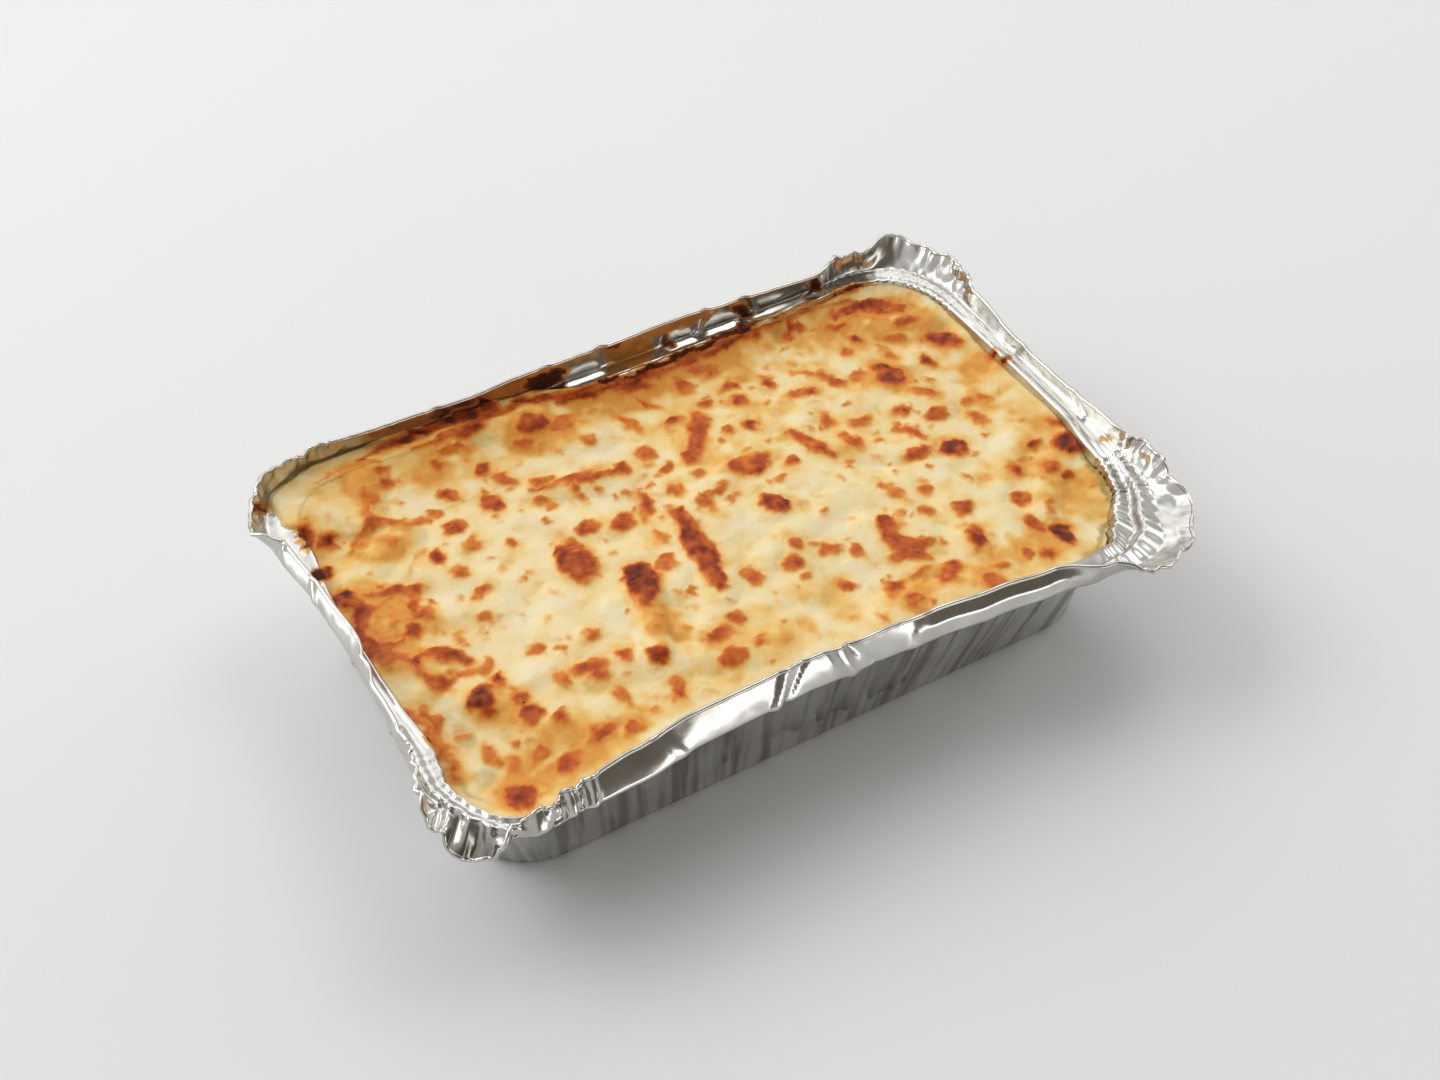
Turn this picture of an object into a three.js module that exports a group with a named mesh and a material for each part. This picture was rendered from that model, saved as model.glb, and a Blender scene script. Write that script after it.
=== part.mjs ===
// A bechamel pasta bake in an oblong foil tray, in millimetres, +Z up.
// The origin is the centre of the tray's flat foot.
import * as THREE from 'three';

// The tray: length and width are between the walls, at the ledge, and the foot draws in by the taper.
// Its corners have the same radius at the foot and at the ledge. The wall's outline has a point at the
// waist, below which the pleats fade.
const tray = {
  length: 215,
  width: 129,
  height: 45,
  waist: 18,
  cornerRadius: 20,
  taper: 7.6,
  footRadius: 3,
  foil: 0.7,
  edgeRoll: 0.9,
};

// The pleats that take up the spare foil round a corner, how unevenly the lip's edge is crimped there,
// and how far apart columns stand elsewhere
const pleats = {
  perCorner: 12,
  wallDepth: 1.0,
  ledgeDepth: 0.5,
  lipDepth: 1.3,
  raggedness: 1.6,
  lowestAt: 9,
  sideStep: 8,
};

// The rim as it was bent, station by station round the tray.
// Along is x or y on a side and degrees turned in a corner. Bulge is how far the wall's top is pushed
// out, reach the ledge's width and drop how far its outer edge hangs. Lean tips the upstanding lip
// outwards, in degrees, and tall is its height.
const rim = [
  { side: 'front', along: -84, bulge: 5.5, reach: 6.5, drop: 0.8, lean: -6, tall: 10 },
  { side: 'front', along: -62, bulge: 3.5, reach: 8, drop: 0.5, lean: -16, tall: 9.5 },
  { side: 'front', along: -42, bulge: 1.5, reach: 7.5, drop: 0, lean: -25, tall: 9 },
  { side: 'front', along: -15, bulge: 0.5, reach: 7.8, drop: 0, lean: -26, tall: 9 },
  { side: 'front', along: 20, bulge: 1, reach: 7.8, drop: 0, lean: -28, tall: 9 },
  { side: 'front', along: 45, bulge: 3.5, reach: 8, drop: 0.5, lean: -14, tall: 8.5 },
  { side: 'front', along: 60, bulge: 5, reach: 8, drop: 0.8, lean: -4, tall: 8 },
  { side: 'front', along: 76, bulge: 6, reach: 8, drop: 1, lean: 20, tall: 8 },
  { side: 'frontRight', along: 20, bulge: 5.5, reach: 8.5, drop: 0.8, lean: 62, tall: 9.5 },
  { side: 'frontRight', along: 45, bulge: 2, reach: 6.5, drop: 0.5, lean: 76, tall: 8.8 },
  { side: 'frontRight', along: 75, bulge: 0.5, reach: 5.5, drop: 0.3, lean: 38, tall: 7 },
  { side: 'right', along: -34, bulge: 0.5, reach: 5.8, drop: 0, lean: 2, tall: 6 },
  { side: 'right', along: -15, bulge: 2, reach: 4.8, drop: 0, lean: -10, tall: 5 },
  { side: 'right', along: 8, bulge: 2.5, reach: 4.5, drop: 0, lean: -8, tall: 5 },
  { side: 'right', along: 36, bulge: 2.5, reach: 5, drop: 0, lean: 10, tall: 6 },
  { side: 'backRight', along: 12, bulge: 1.5, reach: 6, drop: -0.3, lean: 34, tall: 8.5 },
  { side: 'backRight', along: 45, bulge: 1, reach: 7, drop: -0.5, lean: 48, tall: 10 },
  { side: 'backRight', along: 75, bulge: 0.5, reach: 6.5, drop: 0, lean: 8, tall: 7.5 },
  { side: 'back', along: 74, bulge: 0, reach: 6.5, drop: 0, lean: -30, tall: 6.5 },
  { side: 'back', along: 42, bulge: 0, reach: 6.5, drop: 0, lean: -16, tall: 6.5 },
  { side: 'back', along: 7, bulge: 0, reach: 6.5, drop: 0, lean: -28, tall: 7 },
  { side: 'back', along: -39, bulge: 0, reach: 6.7, drop: 0, lean: -24, tall: 7 },
  { side: 'back', along: -70, bulge: 0, reach: 7, drop: 0, lean: -8, tall: 7 },
  { side: 'backLeft', along: 20, bulge: 0, reach: 6, drop: 0, lean: 2, tall: 7 },
  { side: 'backLeft', along: 45, bulge: 0, reach: 6, drop: 0, lean: 20, tall: 7.5 },
  { side: 'backLeft', along: 75, bulge: 0.5, reach: 6.2, drop: 0, lean: 16, tall: 8 },
  { side: 'left', along: 38, bulge: 0.5, reach: 6.2, drop: 0, lean: -6, tall: 8 },
  { side: 'left', along: 20, bulge: 0, reach: 5.4, drop: 0, lean: -6, tall: 8 },
  { side: 'left', along: 0, bulge: 0, reach: 4, drop: 0, lean: -16, tall: 8 },
  { side: 'left', along: -20, bulge: 0, reach: 4.2, drop: 0, lean: -28, tall: 8.5 },
  { side: 'left', along: -40, bulge: 0, reach: 5.6, drop: 0, lean: -24, tall: 8.5 },
  { side: 'frontLeft', along: 20, bulge: 1, reach: 6.5, drop: 0, lean: 4, tall: 8 },
  { side: 'frontLeft', along: 45, bulge: 2.5, reach: 6.5, drop: 0.5, lean: 62, tall: 9.5 },
  { side: 'frontLeft', along: 70, bulge: 4.5, reach: 6, drop: 1, lean: 28, tall: 9 },
];

// The bake: its level, the clearances to the foil and the size of its surface cells. Its sauce swells
// in low waves and is drawn up by the edge climb where it meets the foil. The spreads are the parts of a
// tube's width and a swelling's size at which they run out into the sauce.
const bake = {
  level: 38.6,
  clearance: 0.4,
  floorClearance: 0.3,
  cornerCells: 6,
  longCells: 54,
  shortCells: 27,
  edgeClimb: 1.6,
  edgeReach: 4,
  tubeSpread: 0.62,
  swellingSpread: 0.6,
  crossedTube: 0.35,
  broadWave: { height: 0.7, length: 23, width: 17 },
  slantWave: { height: 0.4, length: 11, width: 14 },
};

// Pasta tubes that show through the sauce, from end to end, with their width and how far they stand up
const tubes = [
  { from: [-30, -15], to: [-39, -37], width: 9, rise: 3.2 },
  { from: [-97, 29], to: [-80, 39], width: 13, rise: 2.6 },
  { from: [-86, 45], to: [-80, 63], width: 9, rise: 1.8 },
  { from: [-32, 62], to: [-16, 49], width: 16, rise: 2.6 },
  { from: [-96, 20], to: [-95, -16], width: 15, rise: 2.6 },
  { from: [-91, -24], to: [-76, -44], width: 14, rise: 2.0 },
  { from: [-38, 37], to: [-12, 28], width: 10, rise: 1.8 },
  { from: [33, 48], to: [42, 22], width: 11, rise: 1.6 },
  { from: [78, 30], to: [84, 8], width: 11, rise: 1.8 },
  { from: [80, 55], to: [99, 42], width: 12, rise: 2.2 },
  { from: [44, 10], to: [68, -6], width: 11, rise: 1.6 },
  { from: [36, -24], to: [41, -46], width: 10, rise: 1.6 },
  { from: [-28, -44], to: [-10, -50], width: 12, rise: 1.5 },
  { from: [22, -54], to: [50, -56], width: 12, rise: 1.8 },
  { from: [10, 42], to: [4, 20], width: 10, rise: 1.6 },
  { from: [-11, 6], to: [-14, -28], width: 9, rise: 1.5 },
  { from: [84, -44], to: [98, -30], width: 11, rise: 1.4 },
  { from: [60, -40], to: [72, -58], width: 10, rise: 1.2 },
  { from: [100, 8], to: [98, -18], width: 12, rise: 1.2 },
];

// Browned swellings and hollows in the crust
const swellings = [
  { at: [-43, 4], size: [11, 18], rise: 1.6 },
  { at: [-31, -14], size: [12, 13], rise: 1.4 },
  { at: [-103, 22], size: [9, 12], rise: 2.0 },
  { at: [-93, -10], size: [15, 13], rise: 1.4 },
  { at: [-87, -29], size: [12, 12], rise: 1.6 },
  { at: [-92, -61], size: [13, 12], rise: 1.5 },
  { at: [-76, -58], size: [12, 9], rise: 1.2 },
  { at: [17, -4], size: [10, 12], rise: 1.0 },
  { at: [20, 13], size: [15, 11], rise: 1.1 },
  { at: [76, -12], size: [10, 10], rise: 1.1 },
  { at: [81, -57], size: [8, 11], rise: 1.2 },
  { at: [105, -27], size: [9, 12], rise: 2.0 },
  { at: [102, 30], size: [9, 14], rise: 1.6 },
  { at: [-27, 60], size: [10, 12], rise: 1.0 },
  { at: [57, -45], size: [9, 12], rise: 0.9 },
  { at: [-104, 48], size: [7, 16], rise: 1.8 },
  { at: [-95, 62], size: [26, 12], rise: -1.6 },
  { at: [-100, -38], size: [10, 22], rise: -1.4 },
  { at: [100, -58], size: [16, 12], rise: -1.2 },
  { at: [-27, -27], size: [7, 18], rise: -1.0 },
  { at: [62, 60], size: [14, 8], rise: -1.4 },
];

// Further tubes lying anywhere under the sauce
const hiddenTubes = {
  seed: 21,
  count: 46,
  fromEdge: 17,
  length: [22, 34],
  width: [9, 12],
  rise: [0.5, 1.3],
};

const sides = ['front', 'frontRight', 'right', 'backRight', 'back', 'backLeft', 'left', 'frontLeft'];
const cornerRun = (Math.PI * tray.cornerRadius) / 2;
const longRun = tray.length - 2 * tray.cornerRadius;
const shortRun = tray.width - 2 * tray.cornerRadius;
const runs = [longRun, cornerRun, shortRun, cornerRun, longRun, cornerRun, shortRun, cornerRun];
const starts = runs.map((_, i) => runs.slice(0, i).reduce((sum, run) => sum + run, 0));
const perimeter = starts[7] + runs[7];

function clamp(value, low, high) {
  return Math.min(Math.max(value, low), high);
}

function smooth(t) {
  const c = clamp(t, 0, 1);
  return c * c * (3 - 2 * c);
}

// Repeatable draws between 0 and 1
function draws(seed) {
  let state = seed;
  return () => {
    state = (state + 0x6d2b79f5) | 0;
    let t = Math.imul(state ^ (state >>> 15), 1 | state);
    t = (t + Math.imul(t ^ (t >>> 7), 61 | t)) ^ t;
    return ((t ^ (t >>> 14)) >>> 0) / 4294967296;
  };
}

// A place round the tray is a side, counted anticlockwise from the front, and the part of it passed
function placeAt(run) {
  const s = ((run % perimeter) + perimeter) % perimeter;
  const side = starts.findLastIndex((start) => s >= start);
  return { side, part: (s - starts[side]) / runs[side] };
}

function runAt({ side, part }) {
  return starts[side] + runs[side] * part;
}

function stationPlace({ side, along }) {
  const parts = {
    front: 0.5 + along / longRun,
    right: 0.5 + along / shortRun,
    back: 0.5 - along / longRun,
    left: 0.5 - along / shortRun,
  };
  return { side: sides.indexOf(side), part: parts[side] ?? along / 90 };
}

function outwardAt({ side, part }) {
  const turn = (Math.floor(side / 2) - 1 + (side % 2) * part) * (Math.PI / 2);
  return new THREE.Vector2(Math.cos(turn), Math.sin(turn));
}

// The point at a place on a rounded rectangle that lies inset from the wall's top edge
function edgePoint({ side, part }, inset) {
  const x = tray.length / 2 - inset - tray.cornerRadius;
  const y = tray.width / 2 - inset - tray.cornerRadius;
  const centres = [[-x, -y], [x, -y], [x, y], [-x, y]].map((at) => new THREE.Vector2(...at));
  const quarter = Math.floor(side / 2);
  const after = centres[(quarter + 1) % 4];
  const centre = side % 2 === 1 ? after.clone() : centres[quarter].clone().lerp(after, part);
  return centre.addScaledVector(outwardAt({ side, part }), tray.cornerRadius);
}

// The rim's bend at a run, eased from one station to the next
const stations = rim
  .map((station) => ({ ...station, run: runAt(stationPlace(station)) }))
  .sort((a, b) => a.run - b.run);

function rimAt(run) {
  const s = ((run % perimeter) + perimeter) % perimeter;
  const next = stations.findIndex((station) => station.run > s);
  const b = stations[next < 0 ? 0 : next];
  const a = stations[(next <= 0 ? stations.length : next) - 1];
  const gap = (b.run - a.run + perimeter) % perimeter;
  const t = smooth(((s - a.run + perimeter) % perimeter) / gap);
  const bend = {};
  for (const key of ['bulge', 'reach', 'drop', 'lean', 'tall']) bend[key] = a[key] + (b[key] - a[key]) * t;
  return bend;
}

// The inside of the wall at a place and height, straight from the foot's edge to the top edge
function wallPoint(place, bulge, z) {
  const up = (z - tray.footRadius) / (tray.height - tray.footRadius);
  const point = edgePoint(place, tray.taper).lerp(edgePoint(place, 0), up);
  return point.addScaledVector(outwardAt(place), bulge * up);
}

// The columns round the tray: close together in the corners, where they fold in and out by turns
function columnsRound() {
  const random = draws(5);
  const columns = [];
  runs.forEach((run, side) => {
    const corner = side % 2 === 1;
    const steps = corner ? 2 * pleats.perCorner : Math.ceil(run / pleats.sideStep);
    for (let k = 0; k < steps; k++) {
      const place = { side, part: k / steps };
      const pleated = corner ? smooth(5 * Math.min(place.part, 1 - place.part)) : 0;
      const fold = (k % 2) * pleated * (0.6 + 0.5 * random());
      const ragged = pleats.raggedness * pleated * (random() - 0.5);
      columns.push({ place, ...rimAt(runAt(place)), fold, ragged });
    }
  });
  return columns;
}

// One column's closed outline across the wall, from the floor inside, over the lip and back under the
// foot. Each point has its height and its distance outwards: from the wall's inside, or, where it
// belongs to the ledge and lip, from the wall's top edge.
function traySection({ bulge, reach, drop, lean, tall, fold, ragged }) {
  const { height: top, waist, footRadius: foot, foil, edgeRoll } = tray;
  const folded = (z) => fold * pleats.wallDepth * smooth((z - pleats.lowestAt) / (top - pleats.lowestAt));
  const angle = THREE.MathUtils.degToRad(lean);
  const up = [Math.sin(angle), Math.cos(angle)];
  const out = [Math.cos(angle), -Math.sin(angle)];
  const ledgeTop = top + fold * pleats.ledgeDepth;
  const edge = bulge + reach;
  const lipTall = tall + ragged;
  const lip = (along, across) => {
    const shift = fold * pleats.lipDepth * clamp(along / lipTall, 0, 1) + across;
    const z = ledgeTop - drop + up[1] * along + out[1] * shift;
    return { top: edge + up[0] * along + out[0] * shift, z };
  };
  const mitre = (1 - up[0]) / out[0];
  return [
    { wall: -foot, z: foil },
    { wall: -0.3 * foot, z: foil + 0.3 * foot },
    { wall: 0, z: foil + foot },
    { wall: folded(waist), z: waist },
    { top: bulge + folded(top) - 0.2, z: top - 0.6 },
    { top: bulge + folded(top) + 0.5, z: ledgeTop },
    lip(0, 0),
    lip(0.55 * lipTall, 0),
    lip(lipTall, 0),
    lip(lipTall + 0.25 * edgeRoll, 0.5 * (foil + edgeRoll)),
    lip(lipTall - 0.4 * edgeRoll, foil + edgeRoll),
    lip(lipTall - 1.6 * edgeRoll, foil + 0.4 * edgeRoll),
    lip(lipTall - 2.2 * edgeRoll, foil),
    lip(0.5 * lipTall, foil),
    { top: edge + foil * mitre, z: ledgeTop - drop - foil },
    { top: bulge + folded(top) + foil, z: ledgeTop - foil - 0.2 },
    { wall: folded(waist) + foil, z: waist },
    { wall: foil, z: foot },
    { wall: foil - 0.3 * foot, z: 0.3 * foot },
    { wall: foil - foot, z: 0 },
  ];
}

// A closed surface from rows of points that all go round, capped flat at both ends
function closedSurface(rows, firstCentre, lastCentre) {
  const count = rows[0].length;
  const positions = [firstCentre, ...rows.flat(), lastCentre].flatMap((v) => [v.x, v.y, v.z]);
  const last = rows.length * count + 1;
  const index = (row, i) => 1 + row * count + (i % count);
  const faces = [];
  for (let i = 0; i < count; i++) {
    faces.push(0, index(0, i), index(0, i + 1));
    for (let row = 0; row + 1 < rows.length; row++) {
      const corners = [index(row, i), index(row, i + 1), index(row + 1, i + 1), index(row + 1, i)];
      const [a, b, c, d] = corners;
      const even = (row + i) % 2 === 0;
      faces.push(...(even ? [a, d, b, b, d, c] : [a, d, c, a, c, b]));
    }
    faces.push(last, index(rows.length - 1, i + 1), index(rows.length - 1, i));
  }
  const geometry = new THREE.BufferGeometry();
  geometry.setAttribute('position', new THREE.Float32BufferAttribute(positions, 3));
  geometry.setIndex(faces);
  geometry.computeVertexNormals();
  return geometry;
}

function trayGeometry() {
  const columns = columnsRound();
  const outlines = columns.map((column) => {
    const { place, bulge } = column;
    return traySection(column).map(({ wall, top, z }) => {
      const onWall = top === undefined;
      const from = onWall ? wallPoint(place, bulge, Math.max(z, tray.footRadius)) : edgePoint(place, 0);
      const q = from.addScaledVector(outwardAt(place), onWall ? wall : top);
      return new THREE.Vector3(q.x, q.y, z);
    });
  });
  const rows = outlines[0].map((_, row) => outlines.map((outline) => outline[row]));
  return closedSurface(rows, new THREE.Vector3(0, 0, tray.foil), new THREE.Vector3(0, 0, 0));
}

// Tubes that are named above, and those drawn at random between them
function allTubes() {
  const random = draws(hiddenTubes.seed);
  const between = ([low, high]) => low + (high - low) * random();
  const drawn = Array.from({ length: hiddenTubes.count }, () => {
    const x = (random() - 0.5) * (tray.length - 2 * hiddenTubes.fromEdge);
    const y = (random() - 0.5) * (tray.width - 2 * hiddenTubes.fromEdge);
    const turn = random() * Math.PI;
    const half = between(hiddenTubes.length) / 2;
    const dx = Math.cos(turn) * half;
    const dy = Math.sin(turn) * half;
    const width = between(hiddenTubes.width);
    return { from: [x - dx, y - dy], to: [x + dx, y + dy], width, rise: between(hiddenTubes.rise) };
  });
  return [...tubes, ...drawn];
}

// A tube's height above the sauce at a point: round across, tapering off past its ends
function tubeHeight({ from, to, width, rise }, x, y) {
  const [dx, dy] = [to[0] - from[0], to[1] - from[1]];
  const t = clamp(((x - from[0]) * dx + (y - from[1]) * dy) / (dx * dx + dy * dy), 0, 1);
  const away = Math.hypot(x - from[0] - dx * t, y - from[1] - dy * t) / (bake.tubeSpread * width);
  return away < 1 ? rise * (1 - away * away) ** 1.3 : 0;
}

function swellingHeight({ at, size, rise }, x, y) {
  const spread = bake.swellingSpread;
  const away = ((x - at[0]) / (spread * size[0])) ** 2 + ((y - at[1]) / (spread * size[1])) ** 2;
  return away < 1 ? rise * (1 - away) ** 1.5 : 0;
}

const everyTube = allTubes();

// The bake fills the tray up to this rounded rectangle at its level
const belowLedge = (tray.height - bake.level) / (tray.height - tray.footRadius);
const levelInset = tray.taper * belowLedge + bake.clearance;
const bakeHalf = { x: tray.length / 2 - levelInset, y: tray.width / 2 - levelInset };

// How far a point lies outwards of the rectangle that joins the corners' centres
function outwardOf(x, y) {
  const radius = tray.cornerRadius;
  const cx = clamp(x, radius - bakeHalf.x, bakeHalf.x - radius);
  const cy = clamp(y, radius - bakeHalf.y, bakeHalf.y - radius);
  return new THREE.Vector2(x - cx, y - cy);
}

// The place round the tray that a point near the bake's edge faces
function placeOf(x, y) {
  const quarter = Math.PI / 2;
  const away = outwardOf(x, y);
  const turned = (Math.atan2(away.y, away.x) + 5 * quarter) % (4 * quarter);
  const whole = Math.floor(turned / quarter + 1e-6);
  const past = turned / quarter - whole;
  if (past > 1e-6) return { side: 2 * (whole % 4) + 1, part: past };
  const lengthways = whole % 2 === 0;
  const half = (lengthways ? bakeHalf.x : bakeHalf.y) - tray.cornerRadius;
  const along = (lengthways ? x : y) * (whole === 2 || whole === 3 ? -1 : 1);
  return { side: 2 * (whole % 4), part: 0.5 + along / (2 * half) };
}

// The height of the bake's top at a point, with the sauce drawn up a little where it meets the foil
function topHeight(x, y) {
  const { broadWave: broad, slantWave: slant } = bake;
  const inside = tray.cornerRadius - outwardOf(x, y).length();
  const acrossSwell = broad.height * Math.sin(x / broad.length + 0.6) * Math.cos(y / broad.width - 0.4);
  const slantSwell = slant.height * Math.sin(x / slant.length + y / slant.width);
  const raised = everyTube.map((tube) => tubeHeight(tube, x, y)).sort((a, b) => b - a);
  const lumps = swellings.reduce((sum, swelling) => sum + swellingHeight(swelling, x, y), 0);
  const climb = bake.edgeClimb * Math.exp(-inside / bake.edgeReach);
  const sauce = bake.level + acrossSwell + slantSwell + climb;
  return sauce + raised[0] + bake.crossedTube * raised[1] + lumps;
}

// Cell edges along one direction: a corner's cells, the side's and a corner's again
function cellEdges(half, middleCells) {
  const straight = half - tray.cornerRadius;
  const edges = [];
  const spread = (from, to, cells) => {
    for (let i = 0; i < cells; i++) edges.push(from + ((to - from) * i) / cells);
  };
  spread(-half, -straight, bake.cornerCells);
  spread(-straight, straight, middleCells);
  spread(straight, half, bake.cornerCells);
  return [...edges, half];
}

// Moves a point of a plain grid so that the grid's corners fill the rounded corners
function intoRoundCorners(x, y) {
  const radius = tray.cornerRadius;
  const away = outwardOf(x, y);
  const u = away.x / radius;
  const v = away.y / radius;
  const shrink = new THREE.Vector2(Math.sqrt(1 - (v * v) / 2), Math.sqrt(1 - (u * u) / 2));
  return new THREE.Vector2(x, y).sub(away).add(away.clone().multiply(shrink));
}

// A point of the top, pushed out with the wall where that bulges
function topPoint({ x, y }) {
  const z = topHeight(x, y);
  const away = outwardOf(x, y);
  const nearness = smooth(away.length() / tray.cornerRadius);
  if (nearness === 0) return new THREE.Vector3(x, y, z);
  const place = placeOf(x, y);
  const outward = outwardAt(place);
  const { bulge } = rimAt(runAt(place));
  const wall = wallPoint(place, bulge, z).sub(edgePoint(place, levelInset)).dot(outward);
  const shift = (wall - bake.clearance) * nearness;
  return new THREE.Vector3(x + outward.x * shift, y + outward.y * shift, z);
}

function bakeGeometry() {
  const { footRadius: foot, foil } = tray;
  const xs = cellEdges(bakeHalf.x, bake.longCells);
  const ys = cellEdges(bakeHalf.y, bake.shortCells);
  const grid = ys.map((y) => xs.map((x) => intoRoundCorners(x, y)));
  const [lastX, lastY] = [xs.length - 1, ys.length - 1];
  const border = [];
  for (let i = 0; i < lastX; i++) border.push([0, i]);
  for (let j = 0; j < lastY; j++) border.push([j, lastX]);
  for (let i = lastX; i > 0; i--) border.push([lastY, i]);
  for (let j = lastY; j > 0; j--) border.push([j, 0]);

  const vertices = grid.flat().map(topPoint);
  const index = (j, i) => j * xs.length + i;
  const faces = [];
  for (let j = 0; j < lastY; j++) {
    for (let i = 0; i < lastX; i++) {
      const [a, b, c, d] = [index(j, i), index(j, i + 1), index(j + 1, i + 1), index(j + 1, i)];
      const slant = Math.abs(vertices[a].z - vertices[c].z) - Math.abs(vertices[b].z - vertices[d].z);
      faces.push(...(slant < 0 ? [a, b, c, a, c, d] : [a, b, d, b, c, d]));
    }
  }
  // The side goes down the wall and in under the rounded foot
  const floor = foil + bake.floorClearance;
  const side = [
    { inset: 0, z: floor + foot },
    { inset: 0.3 * foot, z: floor + 0.3 * foot },
    { inset: foot, z: floor },
  ];
  const places = border.map(([j, i]) => placeOf(grid[j][i].x, grid[j][i].y));
  let above = border.map(([j, i]) => index(j, i));
  side.forEach(({ inset, z }) => {
    const ring = places.map((place) => {
      const wall = wallPoint(place, rimAt(runAt(place)).bulge, foot);
      const q = wall.addScaledVector(outwardAt(place), -inset - bake.clearance);
      return vertices.push(new THREE.Vector3(q.x, q.y, z)) - 1;
    });
    ring.forEach((lower, k) => {
      const next = (k + 1) % ring.length;
      faces.push(above[k], lower, above[next], above[next], lower, ring[next]);
    });
    above = ring;
  });
  const centre = vertices.push(new THREE.Vector3(0, 0, floor)) - 1;
  above.forEach((v, k) => faces.push(centre, above[(k + 1) % above.length], v));

  const geometry = new THREE.BufferGeometry();
  const positions = vertices.flatMap((v) => [v.x, v.y, v.z]);
  geometry.setAttribute('position', new THREE.Float32BufferAttribute(positions, 3));
  geometry.setIndex(faces);
  geometry.computeVertexNormals();
  return geometry;
}

const foilMaterial = new THREE.MeshStandardMaterial({ color: 0xc6c7c4, roughness: 0.32, metalness: 1 });
const crustMaterial = new THREE.MeshStandardMaterial({ color: 0xe6c987, roughness: 0.55, metalness: 0 });

const foilTray = new THREE.Mesh(trayGeometry(), foilMaterial);
foilTray.name = 'foil_tray';

const pastaBake = new THREE.Mesh(bakeGeometry(), crustMaterial);
pastaBake.name = 'pasta_bake';

const dish = new THREE.Group();
dish.add(foilTray, pastaBake);

export default dish;
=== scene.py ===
# A bechamel pasta bake in its crumpled foil tray. Sizes are in millimetres until a mesh is made.
import math

import bpy
import numpy as np
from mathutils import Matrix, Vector


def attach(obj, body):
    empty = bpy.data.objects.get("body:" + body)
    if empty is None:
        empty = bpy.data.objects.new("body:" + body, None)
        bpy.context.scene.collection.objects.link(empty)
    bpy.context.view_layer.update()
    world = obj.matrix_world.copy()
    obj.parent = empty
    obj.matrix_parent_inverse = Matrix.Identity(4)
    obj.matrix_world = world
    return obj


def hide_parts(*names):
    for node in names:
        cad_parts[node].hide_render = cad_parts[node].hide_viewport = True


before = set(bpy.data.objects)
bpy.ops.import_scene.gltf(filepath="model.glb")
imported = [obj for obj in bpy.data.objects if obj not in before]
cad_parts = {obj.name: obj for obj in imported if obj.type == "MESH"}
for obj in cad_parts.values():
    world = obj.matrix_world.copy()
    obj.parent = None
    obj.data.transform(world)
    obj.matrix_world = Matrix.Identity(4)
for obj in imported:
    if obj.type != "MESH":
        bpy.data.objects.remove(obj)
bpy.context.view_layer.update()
millimetre = 0.001

# Where the camera stands, as the photo was taken: the direction, the distance and the lens
view = {
    "azimuth": math.radians(-30.7),
    "elevation": math.radians(44.8),
    "roll": math.radians(0.1),
    "target": (4.4, 4.2, 25.0),
    "distance": 561.8,
    "lens": 47.9,
    "filmWidth": 36.0,
    "clipStart": 0.01,
}


# Repeatable noise on plain numbers
wordMask = 0xFFFFFFFF  # keeps the lowest 32 bits
scatter = (374761393, 668265263, 974634777, 1274126177)  # large odd numbers that mix the bits


def smooth(t):  # eases from 0 to 1 as t does
    t = np.clip(t, 0, 1)
    return t * t * (3 - 2 * t)


def hashed(i, j, seed):  # a number between -1 and 1 for each whole place
    mask = np.int64(wordMask)
    n = (i.astype(np.int64) * scatter[0] + j.astype(np.int64) * scatter[1] + seed * scatter[2]) & mask
    n = ((n ^ (n >> 13)) * scatter[3]) & mask
    return ((n ^ (n >> 16)) & mask) / (wordMask + 1) * 2 - 1


def latticeCell(x, y, size):
    u, v = np.asarray(x, float) / size, np.asarray(y, float) / size
    i, j = np.floor(u), np.floor(v)
    return i, j, u - i, v - j


def softNoise(x, y, size, seed):  # rounded lumps between -1 and 1, about a size across
    i, j, a, b = latticeCell(x, y, size)
    a, b = smooth(a), smooth(b)
    low = hashed(i, j, seed) * (1 - a) + hashed(i + 1, j, seed) * a
    high = hashed(i, j + 1, seed) * (1 - a) + hashed(i + 1, j + 1, seed) * a
    return low * (1 - b) + high * b


def facetNoise(x, y, size, seed):  # flat facets that meet in creases, as in crumpled foil
    i, j, a, b = latticeCell(x, y, size)
    corner, far = hashed(i, j, seed), hashed(i + 1, j + 1, seed)
    right, above = hashed(i + 1, j, seed), hashed(i, j + 1, seed)
    lower = corner + (right - corner) * a + (above - corner) * b
    upper = far + (above - far) * (1 - a) + (right - far) * (1 - b)
    return np.where(a + b < 1, lower, upper)


def withNoise(base, x, y, layers):  # a base with layers of soft noise: strength, size and seed
    for strength, size, seed in layers:
        base = base + strength * softNoise(x, y, size, seed)
    return base


# The foil tray, from the same sizes as the solid, in much thinner foil. A stretch of the rim is its
# middle, half its length and how long its ends fade
tray = {
    "length": 215.0,
    "width": 129.0,
    "height": 45.0,
    "cornerRadius": 20.0,
    "taper": 7.6,
    "footRadius": 3.0,
    "foil": 0.24,
    "cornerStep": 0.44,  # between the mesh's columns
    "sideStep": 1.0,
    "lipBelly": 0.28,
    "lipWaves": [(0.25, 17, 4)],
    "creased": (("front", 46), 30, 10),
    "creaseDepth": 1.15,
    "creaseAt": 0.55,
    "ledgeRings": [(0.12, 0.12, 0.24), (0.40, 0.14, -0.20), (0.70, 0.12, 0.18)],  # place, width, height
    "flatRings": (("back", 30), 75, 20),
    "flatShare": 0.96,
}

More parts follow.
